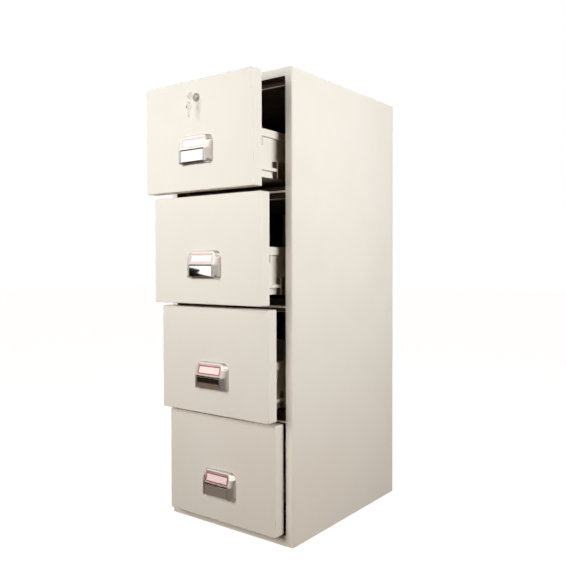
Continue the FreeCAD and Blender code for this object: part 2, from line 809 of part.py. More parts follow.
def make_lock():
    """Cylinder lock of the first drawer, with its bolt and the case that guides the bolt."""
    face, rear = head_front(1), head_back(1)
    collar_front = face - Sizes.CollarThickness
    barrel_end = rear + Sizes.BarrelTail
    collar = rod("Collar", "y", (0, collar_front, lock_z), Sizes.CollarRadius, Sizes.CollarThickness)
    barrel = rod("Barrel", "y", (0, collar_front, lock_z), Sizes.BarrelRadius, barrel_end - collar_front)
    bore_radius = Sizes.PlugRadius + Sizes.PivotGap
    bore = rod("Bore", "y", (0, collar_front, lock_z), bore_radius, barrel_end - collar_front)
    node(cut("LockBarrel", joined("BarrelAndCollar", collar, barrel), bore), "lock_barrel")

    plug_front = collar_front - Sizes.PlugProud
    plug = rod("Plug", "y", (0, plug_front, lock_z), Sizes.PlugRadius, barrel_end - plug_front)
    neck = rod("CamNeck", "y", (0, barrel_end, lock_z), Sizes.CamNeckRadius, bolt_front - barrel_end)
    cam = rod("Cam", "y", (0, bolt_front, lock_z), Sizes.CamRadius, Sizes.BoltDepth)
    slot_half = Sizes.KeyThickness / 2 + Sizes.KeySlotGap
    slot_z = Sizes.KeyBladeHeight / 2 + Sizes.KeySlotGap
    slot_end = plug_front + Sizes.KeyBladeLength + Sizes.KeySlotGap
    keyway_z = (lock_z - slot_z, lock_z + slot_z)
    keyway = block("Keyway", (-slot_half, slot_half), (plug_front, slot_end), keyway_z)
    node(cut("LockPlug", joined("PlugAndCam", plug, neck, cam), keyway), "lock_plug")

    bolt_low = lock_z + Sizes.CamRadius + Sizes.BoltGap
    bolt_high = liner_top(1) - Sizes.BoltTopGap
    bolt_x = (-Sizes.BoltHalfWidth, Sizes.BoltHalfWidth)
    node(block("Bolt", bolt_x, (bolt_front, bolt_back), (bolt_low, bolt_high)), "lock_bolt")

    case_low = bolt_low + Sizes.BoltCaseWall
    case_z = (case_low, case_low + Sizes.BoltCaseHeight)
    case_half = Sizes.BoltHalfWidth + Sizes.BoltGap + Sizes.BoltCaseWall
    case_back = bolt_back + Sizes.BoltGap + Sizes.BoltCaseWall
    case = block("Case", (-case_half, case_half), (rear, case_back), case_z)
    way_x = (-Sizes.BoltHalfWidth - Sizes.BoltGap, Sizes.BoltHalfWidth + Sizes.BoltGap)
    way_y = (bolt_front - Sizes.BoltGap, bolt_back + Sizes.BoltGap)
    way = block("BoltWay", way_x, way_y, case_z)
    node(cut("BoltCase", case, way), "lock_bolt_case")
    return plug_front


def make_keys(plug_front):
    """The key in the lock, and a split ring on its bow that carries the spare key."""
    half = Sizes.KeyThickness / 2
    blade_half = Sizes.KeyBladeHeight / 2
    shank_front = plug_front - Sizes.KeyShankLength
    blade_y = (shank_front, plug_front + Sizes.KeyBladeLength)
    blade = block("Blade", (-half, half), blade_y, (lock_z - blade_half, lock_z + blade_half))
    bow_y = shank_front - Sizes.KeyBowRadius + half
    bow = rod("Bow", "x", (-half, bow_y, lock_z), Sizes.KeyBowRadius, Sizes.KeyThickness)
    hole_y = bow_y - Sizes.KeyBowRadius + Sizes.KeyHoleInset
    hole = rod("BowHole", "x", (-half, hole_y, lock_z), Sizes.KeyHoleRadius, Sizes.KeyThickness)
    node(cut("Key", joined("BladeAndBow", blade, bow), hole), "key")

    slack = Sizes.KeyHoleRadius - Sizes.RingWireRadius - Sizes.RingGap
    ring_z = lock_z - slack - Sizes.RingRadius
    ring = doc.addObject("Part::Torus", "Ring")
    ring.Placement = FreeCAD.Placement(FreeCAD.Vector(), TURN_TO_AXIS["y"])
    ring.setExpression("Radius1", Sizes.RingRadius.formula)
    ring.setExpression("Radius2", Sizes.RingWireRadius.formula)
    ring.setExpression("Placement.Base.y", hole_y.formula)
    ring.setExpression("Placement.Base.z", ring_z.formula)
    node(ring, "key_ring")

    spare_hole_z = ring_z - Sizes.RingRadius - slack
    spare_bow_z = spare_hole_z + Sizes.KeyHoleInset - Sizes.KeyBowRadius
    spare_bow = rod("SpareBow", "x", (-half, hole_y, spare_bow_z), Sizes.KeyBowRadius, Sizes.KeyThickness)
    spare_hole_start = (-half, hole_y, spare_hole_z)
    spare_hole = rod("SpareHole", "x", spare_hole_start, Sizes.KeyHoleRadius, Sizes.KeyThickness)
    blade_top = spare_bow_z - Sizes.KeyBowRadius + half
    spare_y = (hole_y - blade_half, hole_y + blade_half)
    spare_z = (blade_top - Sizes.SpareBladeLength, blade_top)
    spare_blade = block("SpareBlade", (-half, half), spare_y, spare_z)
    spare = joined("SpareBowAndBlade", spare_bow, spare_blade)
    node(cut("SpareKey", spare, spare_hole), "spare_key")


def make_lock_bar():
    """Gang bar at the back: it drops a hook in front of each closed drawer's lug."""
    bar_top = tray_floor(DRAWERS[0]) + Sizes.GuideLift + Sizes.GuideHeight * 2
    bar_z = (tray_floor(DRAWERS[-1]) + Sizes.LugLift, bar_top)
    pieces = [block("Bar", (bar_left, bar_right), (bar_front, bar_back), bar_z)]
    for number in DRAWERS:
        lug_top = tray_floor(number) + Sizes.LugLift + Sizes.LugHeight
        lug_front = tray_back(number) + OPENINGS[number - 1] - Sizes.LugInset - Sizes.LugLength
        finger_y = (lug_front - Sizes.HookGap - Sizes.HookFinger, lug_front - Sizes.HookGap)
        finger_low = lug_top + Sizes.HookDropGap
        arm_low = finger_low + Sizes.BarTravel
        hook_x = (bar_left, bar_left + Sizes.HookReach)
        arm_top = arm_low + Sizes.HookArmHeight
        arm_y = (finger_y[0], bar_front)
        arm = block(f"HookArm{number}", hook_x, arm_y, (arm_low, arm_top))
        finger = block(f"HookFinger{number}", hook_x, finger_y, (finger_low, arm_top))
        pieces.append(joined(f"Hook{number}", arm, finger))
    node(grouped("LockBar", pieces), "lock_bar")

    guides = []
    for number in (DRAWERS[0], DRAWERS[-1]):
        low = tray_floor(number) + Sizes.GuideLift
        span = (low, low + Sizes.GuideHeight)
        way_x = (bar_left - Sizes.GuideGap, bar_right + Sizes.GuideGap)
        way_y = (bar_front - Sizes.GuideGap, bar_back + Sizes.GuideGap)
        body_x = (-liner_half, way_x[1] + Sizes.GuideWall)
        guide = block(f"Guide{number}", body_x, (way_y[0] - Sizes.GuideWall, liner_back), span)
        way = block(f"GuideWay{number}", way_x, way_y, span)
        guides.append(cut(f"BarGuide{number}", guide, way))
    node(grouped("BarGuides", guides), "lock_bar_guides")


make_outer_wrap()
make_back_panel()
make_base_pan()
make_insulation()
make_dividers()
make_liners()
make_outer_slides()
for drawer in DRAWERS:
    make_middle_slides(drawer)
    make_head(drawer)
    make_tray(drawer)
    make_handle(drawer)
make_keys(make_lock())
make_lock_bar()
doc.recompute()

broken = [item.Name for item in doc.Objects if "Invalid" in item.State or "Error" in item.State]
for piece in NODES:
    if piece.Shape.isNull() or not piece.Shape.isValid():
        broken.append(piece.Label)
if broken:
    raise RuntimeError(f"failed objects: {broken}")

os.makedirs("parts", exist_ok=True)
for piece in NODES:
    piece.Shape.exportStep(f"parts/{piece.Label}.step")
    box = piece.Shape.BoundBox
    spans = f"x {box.XMin:.1f}..{box.XMax:.1f}, y {box.YMin:.1f}..{box.YMax:.1f}"
    print(f"{piece.Label}: {len(piece.Shape.Solids)} solids, volume {piece.Shape.Volume:.0f},")
    print(f"    {spans}, z {box.ZMin:.1f}..{box.ZMax:.1f}")
print(f"{len(NODES)} sub-parts")
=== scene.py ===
# %% [markdown]
# # A fireproof filing cabinet with four drawers
#
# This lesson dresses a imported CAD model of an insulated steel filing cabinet. The drawers hang
# on telescopic slides and stand open one after the other, as in the photograph. The shapes that
# carry and move come from the CAD frame. Lengths are written in millimetres and multiplied by
# MM where Blender needs metres.

# %% Load the frame
import math

import bmesh
import bpy
from mathutils import Matrix, Vector
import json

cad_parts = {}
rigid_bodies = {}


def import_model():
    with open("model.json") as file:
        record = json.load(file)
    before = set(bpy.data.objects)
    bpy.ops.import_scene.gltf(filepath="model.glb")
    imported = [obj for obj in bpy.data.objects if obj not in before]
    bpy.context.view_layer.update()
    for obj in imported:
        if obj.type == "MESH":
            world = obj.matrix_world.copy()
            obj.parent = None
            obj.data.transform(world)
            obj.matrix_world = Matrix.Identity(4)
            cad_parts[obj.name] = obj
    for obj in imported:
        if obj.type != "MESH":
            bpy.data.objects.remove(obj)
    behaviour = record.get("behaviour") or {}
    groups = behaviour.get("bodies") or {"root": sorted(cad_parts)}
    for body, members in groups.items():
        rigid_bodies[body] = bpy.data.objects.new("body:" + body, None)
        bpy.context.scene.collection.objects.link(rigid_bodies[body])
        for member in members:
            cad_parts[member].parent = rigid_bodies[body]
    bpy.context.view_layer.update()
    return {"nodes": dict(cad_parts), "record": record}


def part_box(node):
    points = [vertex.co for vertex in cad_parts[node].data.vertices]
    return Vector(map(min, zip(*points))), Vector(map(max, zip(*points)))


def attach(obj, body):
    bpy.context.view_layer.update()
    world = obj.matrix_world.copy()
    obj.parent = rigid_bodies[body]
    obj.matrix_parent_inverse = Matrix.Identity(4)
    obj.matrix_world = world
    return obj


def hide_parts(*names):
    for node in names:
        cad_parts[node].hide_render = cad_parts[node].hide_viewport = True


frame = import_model()

scene = bpy.context.scene
scene.view_settings.view_transform = "Standard"
DRAWERS = (1, 2, 3, 4)
MM = 0.001

# %% [markdown]
# ## The camera
#
# The photograph was taken from the front right with the camera near the middle of the cabinet's
# height, so the uprights stay upright. The place and the lens were solved from the corners of the
# body and of the drawer heads. A small vertical shift stands for the crop of the picture.

# %% Camera
PICTURE_WIDTH = 566
FOCAL_LENGTH_PIXELS = 662.8
CAMERA_PLACE = (1.4727, -1.9826, 0.8845)
CAMERA_YAW = math.radians(36.964)
CAMERA_PITCH = math.radians(-0.907)
CAMERA_ROLL = math.radians(0.108)
PRINCIPAL_ROW = 274.75


def add_camera():
    data = bpy.data.cameras.new("camera")
    data.sensor_width = 36.0
    data.lens = FOCAL_LENGTH_PIXELS / PICTURE_WIDTH * data.sensor_width
    data.shift_y = (PRINCIPAL_ROW - PICTURE_WIDTH / 2) / PICTURE_WIDTH
    camera = bpy.data.objects.new("camera", data)
    camera.location = CAMERA_PLACE
    camera.rotation_euler = (math.pi / 2 + CAMERA_PITCH, CAMERA_ROLL, CAMERA_YAW)
    scene.collection.objects.link(camera)
    scene.camera = camera
    return camera


camera = add_camera()
print("lens in millimetres:", round(camera.data.lens, 2))

# %% [markdown]
# ## Shader helpers
#
# Several finishes share the same effects, such as a fine grain or a slow change of tone. Each
# effect is a node group with named inputs, built once. The shader itself stays in the material,
# because gloss and metal need their plain sockets there.

# %% Helpers for colours and groups


def linear(red, green, blue):
    """A colour picked from a screen, from 0 to 255, as Blender's linear colour."""
    channels = []
    for channel in (red, green, blue):
        value = channel / 255
        channels.append(value / 12.92 if value <= 0.04045 else ((value + 0.055) / 1.055) ** 2.4)
    return (*channels, 1.0)


def new_group(name, inputs, outputs, tree_kind="ShaderNodeTree"):
    """An empty node group with its sockets; returns the group, its input and its output node."""
    group = bpy.data.node_groups.new(name, tree_kind)
    for label, kind, *default in inputs:
        socket = group.interface.new_socket(name=label, in_out="INPUT", socket_type=f"NodeSocket{kind}")
        if default:
            socket.default_value = default[0]
    for label, kind in outputs:
        group.interface.new_socket(name=label, in_out="OUTPUT", socket_type=f"NodeSocket{kind}")
    return group, group.nodes.new("NodeGroupInput"), group.nodes.new("NodeGroupOutput")


# %% Helpers that add nodes


def put(tree, socket, value):
    """Joins a socket to another socket, or gives it a plain value."""
    if isinstance(value, bpy.types.NodeSocket):
        tree.links.new(value, socket)
    else:
        socket.default_value = value


def add_node(tree, kind, values, **settings):
    """A new node with its settings, and with a value or a socket for each input that is named."""
    node = tree.nodes.new(kind)
    for setting, choice in settings.items():
        setattr(node, setting, choice)
    for label, value in values.items():
        put(tree, node.inputs[label], value)
    return node


def combine(tree, operation, first, second):
    """A maths node on two inputs, each of them a socket or a number."""
    return add_node(tree, "ShaderNodeMath", {0: first, 1: second}, operation=operation).outputs[0]


def object_noise(tree, scale, detail, roughness=0.55, stretch=None):
    """Noise that stays fixed to the piece; stretch is a socket with a scale for each axis."""
    place = tree.nodes.new("ShaderNodeTexCoord").outputs["Object"]
    if stretch is not None:
        both = {0: place, 1: stretch}
        place = add_node(tree, "ShaderNodeVectorMath", both, operation="MULTIPLY").outputs["Vector"]
    values = {"Vector": place, "Scale": scale, "Detail": detail, "Roughness": roughness}
    return add_node(tree, "ShaderNodeTexNoise", values).outputs["Fac"]


def mix_colours(tree, factor, first, second):
    """A colour mix whose three inputs are sockets or values."""
    values = {0: factor, 6: first, 7: second}
    return add_node(tree, "ShaderNodeMix", values, data_type="RGBA").outputs[2]


def remap(tree, value, low, high, to_low, to_high):
    """Stretches a value from one range to another and stops at the ends."""
    values = {"Value": value, "From Min": low, "From Max": high, "To Min": to_low, "To Max": to_high}
    return add_node(tree, "ShaderNodeMapRange", values).outputs["Result"]


# %% [markdown]
# ### Sprayed paint
#
# Powder coat and sprayed enamel have the same skin: a fine ripple that breaks up reflections, and
# a tone that drifts a little over a large sheet. One group gives both, and each paint sets how
# strong they are.

# %% Group for sprayed paint
SKIN_OUTPUTS = [("Color", "Color"), ("Roughness", "Float"), ("Normal", "Vector")]
SMEAR_RANGE = (0.3, 0.7)
DRIFT_RANGE = (0.42, 0.72)


def join_skin(group, given, result, share, smears, relief, bump_distance):
    """Joins a finish's patterns to its outputs: a second tone, a range of gloss and a relief."""
    tone, second_tone, _, _, depth, gloss_low, gloss_high = list(given.outputs)[:7]
    put(group, result.inputs["Color"], mix_colours(group, share, tone, second_tone))
    put(group, result.inputs["Roughness"], remap(group, smears, *SMEAR_RANGE, gloss_low, gloss_high))
    values = {"Distance": bump_distance, "Strength": depth, "Height": relief}
    bump = add_node(group, "ShaderNodeBump", values)
    put(group, result.inputs["Normal"], bump.outputs["Normal"])
    return group


def sprayed_skin_group():
    inputs = [
        ("Color", "Color", (0.8, 0.8, 0.8, 1.0)),
        ("Dust Color", "Color", (0.7, 0.68, 0.62, 1.0)),
        ("Drift", "Float", 0.35),
        ("Grain Scale", "Float", 900.0),
        ("Grain Depth", "Float", 0.12),
        ("Gloss Low", "Float", 0.36),
        ("Gloss High", "Float", 0.5),
    ]
    group, given, result = new_group("sprayed_skin", inputs, SKIN_OUTPUTS)
    slow = object_noise(group, scale=3.5, detail=4.0)
    drift = remap(group, slow, *DRIFT_RANGE, 0.0, given.outputs["Drift"])
    smears = object_noise(group, scale=14.0, detail=5.0, roughness=0.6)
    grain = object_noise(group, given.outputs["Grain Scale"], detail=2.0)
    return join_skin(group, given, result, drift, smears, grain, bump_distance=0.0004)


SPRAYED_SKIN = sprayed_skin_group()
print("nodes in the paint group:", len(SPRAYED_SKIN.nodes))

# %% [markdown]
# ### Bare and plated metal
#
# Plated steel is never evenly bright. Fine scratches run along the piece, and finger marks dull
# it in clouds. The group stretches one noise along a chosen direction for the scratches and adds
# a slow one for the clouds.

# %% Group for worn metal
STAIN_RANGE = (0.4, 0.75)


def worn_metal_group():
    inputs = [
        ("Color", "Color", (0.8, 0.8, 0.8, 1.0)),
        ("Stain Color", "Color", (0.5, 0.5, 0.5, 1.0)),
        ("Stain", "Float", 0.3),
        ("Scratch Scale", "Vector", (40.0, 900.0, 900.0)),
        ("Scratch Depth", "Float", 0.05),
        ("Gloss Low", "Float", 0.1),
        ("Gloss High", "Float", 0.25),
    ]
    group, given, result = new_group("worn_metal", inputs, SKIN_OUTPUTS)
    clouds = object_noise(group, scale=26.0, detail=4.0)
    stain = remap(group, clouds, *STAIN_RANGE, 0.0, given.outputs["Stain"])
    stretch = given.outputs["Scratch Scale"]
    scratches = object_noise(group, scale=1.0, detail=2.0, roughness=0.5, stretch=stretch)
    return join_skin(group, given, result, stain, clouds, scratches, bump_distance=0.0002)


WORN_METAL = worn_metal_group()
print("nodes in the metal group:", len(WORN_METAL.nodes))

# %% [markdown]
# ## The finishes
#
# Each slot of the record gets a material, and so do the card and the border of each label, whose
# tones differ in the picture: the upper ones are painted paler, a painted highlight for the light
# that washes them out. A small builder places a group in a new material, gives the group its
# values in the order of its sockets and joins it to the shader. Only metallic, which is the same
# all over, is set on the shader's own socket.

# %% Material builder
MATERIALS = {}


def finish(name, group, tone, second_tone, share, relief, gloss, metallic=0.0):
    """Makes a finish: tones from 0 to 255, relief as scale and depth, gloss as low and high."""
    material = bpy.data.materials.new(name)
    material.use_nodes = True
    tree = material.node_tree
    shader = tree.nodes["Principled BSDF"]
    shader.inputs["Metallic"].default_value = metallic
    skin = tree.nodes.new("ShaderNodeGroup")
    skin.node_tree = group
    values = (linear(*tone), linear(*second_tone), share, *relief, *gloss)
    for socket, value in zip(skin.inputs, values):
        socket.default_value = value
    for source, target in (("Color", "Base Color"), ("Roughness", "Roughness"), ("Normal", "Normal")):
        tree.links.new(skin.outputs[source], shader.inputs[target])
    MATERIALS[name] = material


# %% Paints
# Each row has the tone, the dusty tone and its share, the grain's scale and depth, and the gloss.
CARD_SKIN = (0.6, (1200.0, 0.1), (0.25, 0.4))
for name, *values in (
    ("cream_paint", (230, 224, 211), (224, 216, 201), 0.5, (700.0, 0.1), (0.34, 0.46)),
    ("brown_paint", (80, 57, 38), (92, 68, 48), 0.6, (500.0, 0.15), (0.45, 0.62)),
    ("gypsum", (222, 217, 205), (196, 189, 172), 0.8, (260.0, 0.8), (0.85, 0.95)),
    ("seal_rubber", (58, 44, 36), (76, 60, 50), 0.6, (800.0, 0.3), (0.6, 0.8)),
    ("card", (246, 232, 226), (240, 220, 212), *CARD_SKIN),
    ("buffer_rubber", (24, 18, 14), (40, 32, 26), 0.5, (900.0, 0.2), (0.45, 0.6)),
):
    finish(name, SPRAYED_SKIN, *values)
SILVER_TONES = ((210, 203, 197), (198, 190, 183))
finish("silver_paint", SPRAYED_SKIN, *SILVER_TONES, 0.4, (1600.0, 0.06), (0.26, 0.32), metallic=0.9)
print("paints:", len(MATERIALS))

# %% Label tones with a painted highlight
# The upper cards and borders are painted paler and the lower ones deeper: a painted highlight for the light
# that washes out the upper labels.
CARD_TONES_WITH_PAINTED_HIGHLIGHT = {1: (252, 247, 244), 2: (253, 245, 241), 3: (255, 238, 229), 4: (255, 230, 224)}
BORDER_TONES_WITH_PAINTED_HIGHLIGHT = {1: (244, 208, 206), 2: (240, 194, 190), 3: (200, 92, 90), 4: (186, 84, 82)}
DARKER = 0.97
for number in DRAWERS:
    for kind, tone in (("card", CARD_TONES_WITH_PAINTED_HIGHLIGHT[number]), ("border", BORDER_TONES_WITH_PAINTED_HIGHLIGHT[number])):
        dusty_tone = [DARKER * channel for channel in tone]
        finish(f"{kind}_{number}", SPRAYED_SKIN, tone, dusty_tone, *CARD_SKIN)
print("paints with the labels' own:", len(MATERIALS))

# %% Metals
# Each row has the tone, the stained tone and its share, the scratches' scale and depth, and gloss.
for name, *values in (
    ("zinc_steel", (222, 213, 186), (196, 185, 156), 0.5, ((900.0, 60.0, 900.0), 0.15), (0.28, 0.42)),
    ("bright_chrome", (250, 249, 247), (240, 238, 234), 0.25, ((60.0, 900.0, 900.0), 0.004), (0.015, 0.03)),
    ("lock_brass", (226, 219, 202), (196, 186, 162), 0.5, ((900.0, 900.0, 200.0), 0.08), (0.2, 0.34)),
    ("nickel", (247, 245, 241), (222, 219, 212), 0.4, ((900.0, 900.0, 120.0), 0.06), (0.24, 0.34)),
    # The lock collar's chrome is painted dark: painted shade for the shadow and dark reflection on it.
    ("dull_chrome", (172, 164, 152), (150, 142, 130), 0.4, ((900.0, 900.0, 900.0), 0.03), (0.22, 0.32)),
):
    finish(name, WORN_METAL, *values, metallic=1.0)
print("finishes:", ", ".join(MATERIALS))

# %% Dress the CAD nodes
SLOT_OF_NODE = {part["node"]: part["material_slot"] for part in frame["record"]["subparts"]}


def dress(piece, material_name):
    """Gives a piece one material in place of what it had."""
    piece.data.materials.clear()
    piece.data.materials.append(MATERIALS[material_name])


for node_name, piece in frame["nodes"].items():
    dress(piece, SLOT_OF_NODE[node_name])
for number in DRAWERS:
    dress(frame["nodes"][f"label_card_{number}"], f"card_{number}")
print("dressed", len(frame["nodes"]), "nodes")

# %% [markdown]
# ## Soft edges on pressed and cast pieces
#
# No folded sheet or casting has a perfectly sharp edge, and the thin bright line along an edge
# is what makes steel look like steel. A CAD mesh is loose triangles, so a copy is welded, its flat
# faces are joined, and a narrow bevel is cut along the edges only. The copy stands for the node.

# %% Helpers that place and finish a piece
BODIES = frame["record"]["behaviour"]["bodies"]
BODY_OF_NODE = {member: body_name for body_name, members in BODIES.items() for member in members}


def add_piece(name, mesh):
    """A finished mesh as an object that lies at the origin."""
    piece = bpy.data.objects.new(name, mesh)
    scene.collection.objects.link(piece)
    return piece


def fixed(piece, material_name, slot_name, body_name, *stands_for):
    """Dresses a finished piece and tells the frame where it belongs."""
    dress(piece, material_name)
    if stands_for:
        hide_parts(*stands_for)
    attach(piece, body_name)
    return piece


print("nodes with a body:", len(BODY_OF_NODE))

# %% Helpers that shade and soften a piece


def baked(piece):
    """Applies the piece's modifiers to its mesh."""
    graph = bpy.context.evaluated_depsgraph_get()
    mesh = bpy.data.meshes.new_from_object(piece.evaluated_get(graph))
    piece.modifiers.clear()
    old = piece.data
    piece.data = mesh
    bpy.data.meshes.remove(old)
    return piece


def smooth(piece, degrees=32.0):
    """Smooth shading that stays crisp at real edges."""
    piece.data.shade_smooth()
    piece.data.set_sharp_from_angle(angle=math.radians(degrees))
    return piece


def rounded(piece, width, segments=2, angle=40, crisp_from=None):
    """Cuts a narrow bevel along the edges that are sharper than the angle, in degrees.

    The broad faces then shade flat and only the bevels turn. With crisp_from, an angle, the
    piece is shaded smooth up to that angle instead, which keeps a mirror's face exactly flat.
    """
    bevel = piece.modifiers.new("Bevel", "BEVEL")
    bevel.width = width * MM
    bevel.segments = segments
    bevel.limit_method = "ANGLE"
    bevel.angle_limit = math.radians(angle)
    if crisp_from:
        return smooth(baked(piece), crisp_from)
    piece.data.shade_smooth()
    piece.modifiers.new("Level", "WEIGHTED_NORMAL")
    return baked(piece)


# %% Helpers for pieces that stand for a node
SAME_POINT = 1e-6
SAME_PLANE = math.radians(0.5)


def welded_copy(node_name):
    """A copy of a node's mesh with its triangles welded and its flat faces joined."""
    work = bmesh.new()
    work.from_mesh(frame["nodes"][node_name].data)
    bmesh.ops.remove_doubles(work, verts=work.verts, dist=SAME_POINT)
    bmesh.ops.dissolve_limit(work, angle_limit=SAME_PLANE, verts=work.verts, edges=work.edges)
    mesh = bpy.data.meshes.new(f"{node_name}_soft")
    work.to_mesh(mesh)
    work.free()
    return mesh


def soften(node_name, width, material_name=None):
    """Stands a copy with bevelled edges in the place of a CAD node."""
    slot_name = SLOT_OF_NODE[node_name]
    piece = rounded(add_piece(f"{node_name}_soft", welded_copy(node_name)), width)
    fixed(piece, material_name or slot_name, slot_name, BODY_OF_NODE[node_name], node_name)


# %% Soften the pieces that show
SHEET_EDGE = 0.5
for kind in ("drawer_tray", "middle_slides"):
    for number in DRAWERS:
        soften(f"{kind}_{number}", SHEET_EDGE)
for node_name, width in {"divider_strips": 0.6, "lock_bar": 0.8, "lock_plug": 0.2}.items():
    soften(node_name, width)
# The lock's collar takes the darkened chrome, a painted shade.
soften("lock_barrel", 0.6, "dull_chrome")

# %% [markdown]
# ## The pull housings
#
# Each drawer has a cast pull: a label leans back in its upper half, and a chrome finger flap
# closes its lower half. The cast shell swells out of the drawer head and rounds over at its brow
# and flanks, so it has no flat sides. Its depth over the head follows a few curves, so the shell
# is built ring by ring from its middle to its outline, with the depth worked out at each point.

# %% Helpers for new pieces


def node_box(node_name):
    """The lower and the upper corner of the box round a CAD node."""
    return [Vector(corner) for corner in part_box(node_name)]


def mesh_from(work, name):
    """Closes a bmesh into a mesh with its normals facing out."""
    bmesh.ops.remove_doubles(work, verts=work.verts, dist=SAME_POINT / 10)
    bmesh.ops.recalc_face_normals(work, faces=work.faces)
    mesh = bpy.data.meshes.new(name)
    work.to_mesh(mesh)
    work.free()
    return mesh


def add_shape(name, work):
    """A bmesh as a piece."""
    return add_piece(name, mesh_from(work, name))


def add_bar(work, low, high):
    """Adds a box between two corners to a bmesh."""
    corners = bmesh.ops.create_cube(work, size=1.0)["verts"]
    for corner in corners:
        for axis in range(3):
            middle = (low[axis] + high[axis]) / 2
            corner.co[axis] = middle + corner.co[axis] * (high[axis] - low[axis])


def add_bar_pair(work, low, high):
    """Adds a box on the right and its mirror image on the left."""
    for side in (1, -1):
        near_x, far_x = sorted((side * low[0], side * high[0]))
        add_bar(work, (near_x, *low[1:]), (far_x, *high[1:]))


# %% A helper that carves


def carve(piece, low, high, lean=0.0):
    """Cuts a box out of a piece; lean tips the box back about its lower front edge, in radians."""
    work = bmesh.new()
    add_bar(work, (low[0], 0, 0), (high[0], high[1] - low[1], high[2] - low[2]))
    turn = Matrix.Translation((0, low[1], low[2])) @ Matrix.Rotation(lean, 4, "X")
    bmesh.ops.transform(work, matrix=turn, verts=work.verts)
    cutter = add_shape("cutter", work)
    boolean = piece.modifiers.new("Carve", "BOOLEAN")
    boolean.operation = "DIFFERENCE"
    boolean.solver = "EXACT"
    boolean.object = cutter
    baked(piece)
    bpy.data.objects.remove(cutter)


# %% The housing's depth
HOUSING_HALF = 69.5
HOUSING_HEIGHT = 90.0
NOSE_HALF = 50.5
NOSE_DEPTH = 22.0
BROW_HEIGHT = 84.5
BROW_DEPTH = 12.0
FLAP_TOP = 44.0
FOOT_ROUND = 5.0
CORNER_ABOVE = 22.0
CORNER_BELOW = 9.0
RIM_START = 0.72
CORNER_BLEND = 0.3
LEAN = math.atan2(NOSE_DEPTH - BROW_DEPTH, BROW_HEIGHT - FLAP_TOP)


def quarter(part):
    """Height of a quarter circle, one at the start and zero at the end."""
    return math.sqrt(max(0.0, 1.0 - min(1.0, max(0.0, part)) ** 2))


def corner_share(across, up):
    """How much a point belongs to one of the rounded corners, from zero to one."""
    radius = CORNER_ABOVE if up > HOUSING_HEIGHT / 2 else CORNER_BELOW
    reach_up = abs(up - HOUSING_HEIGHT / 2) - (HOUSING_HEIGHT / 2 - radius)
    reach_across = abs(across) - (HOUSING_HALF - radius)
    share = min(1.0, max(0.0, min(reach_up, reach_across) / radius / CORNER_BLEND))
    return share * share * (3.0 - 2.0 * share)


def housing_depth(across, up, ring):
    """How far the housing stands out of the drawer head, in millimetres."""
    if up > BROW_HEIGHT:
        profile = BROW_DEPTH * quarter((up - BROW_HEIGHT) / (HOUSING_HEIGHT - BROW_HEIGHT))
    elif up > FLAP_TOP:
        part = (up - FLAP_TOP) / (BROW_HEIGHT - FLAP_TOP)
        profile = NOSE_DEPTH + (BROW_DEPTH - NOSE_DEPTH) * part
    else:
        profile = NOSE_DEPTH * quarter((FOOT_ROUND - up) / FOOT_ROUND)
    flank = quarter((abs(across) - NOSE_HALF) / (HOUSING_HALF - NOSE_HALF))
    rim = quarter((ring - RIM_START) / (1.0 - RIM_START))
    share = corner_share(across, up)
    return profile * flank * (1.0 - share + share * rim)


print("lean of the label in degrees:", round(math.degrees(LEAN), 1))

# %% The housing's outline


def housing_outline(steps=14):
    """Points round the housing's base, with wide corners above and tight ones below."""
    points = []
    corners = [
        (HOUSING_HALF, HOUSING_HEIGHT, CORNER_ABOVE, 0),
        (-HOUSING_HALF, HOUSING_HEIGHT, CORNER_ABOVE, 90),
        (-HOUSING_HALF, 0.0, CORNER_BELOW, 180),
        (HOUSING_HALF, 0.0, CORNER_BELOW, 270),
    ]
    for across, up, radius, start in corners:
        centre_x = across - math.copysign(radius, across)
        centre_z = up - radius if up > 0 else radius
        for step in range(steps + 1):
            angle = math.radians(start + 90 * step / steps)
            points.append((centre_x + radius * math.cos(angle), centre_z + radius * math.sin(angle)))
    return points


def filled_outline(points, most=3.0):
    """Adds points on the straight runs, so that no gap is longer than most."""
    full = []
    for start, end in zip(points, points[1:] + points[:1]):
        count = max(1, math.ceil(math.dist(start, end) / most))
        for step in range(count):
            part = step / count
            full.append((start[0] + (end[0] - start[0]) * part, start[1] + (end[1] - start[1]) * part))
    return full


HOUSING_OUTLINE = filled_outline(housing_outline())
print("points round a housing:", len(HOUSING_OUTLINE))

# %% Build the housings
COARSE_RINGS = [0.1 * step for step in range(1, 8)]
FINE_RINGS = [0.75, 0.8, 0.84, 0.88, 0.91, 0.94, 0.96, 0.98, 0.99, 0.997, 1.0]
SINK = 0.2

def housing_mesh(face_y, foot_z):
    work = bmesh.new()
    middle = (0.0, HOUSING_HEIGHT / 2)

    def place(across, up, ring):
        depth = housing_depth(across, up, ring)
        return Vector((across * MM, face_y - depth * MM, foot_z + up * MM))

    hub = work.verts.new(place(*middle, 0.0))
    loops = []
    for ring in COARSE_RINGS + FINE_RINGS:
        loop = []
        for across, up in HOUSING_OUTLINE:
            point = (across * ring, middle[1] + (up - middle[1]) * ring)
            loop.append(work.verts.new(place(*point, ring)))
        loops.append(loop)
    skirt_y = face_y + SINK * MM
    skirt = [(across * MM, skirt_y, foot_z + up * MM) for across, up in HOUSING_OUTLINE]
    loops.append([work.verts.new(point) for point in skirt])
    count = len(HOUSING_OUTLINE)
    for index in range(count):
        following = (index + 1) % count
        work.faces.new((hub, loops[0][index], loops[0][following]))
        for inner, outer in zip(loops, loops[1:]):
            work.faces.new((inner[index], outer[index], outer[following], inner[following]))
    work.faces.new(reversed(loops[-1]))
    return mesh_from(work, "housing")

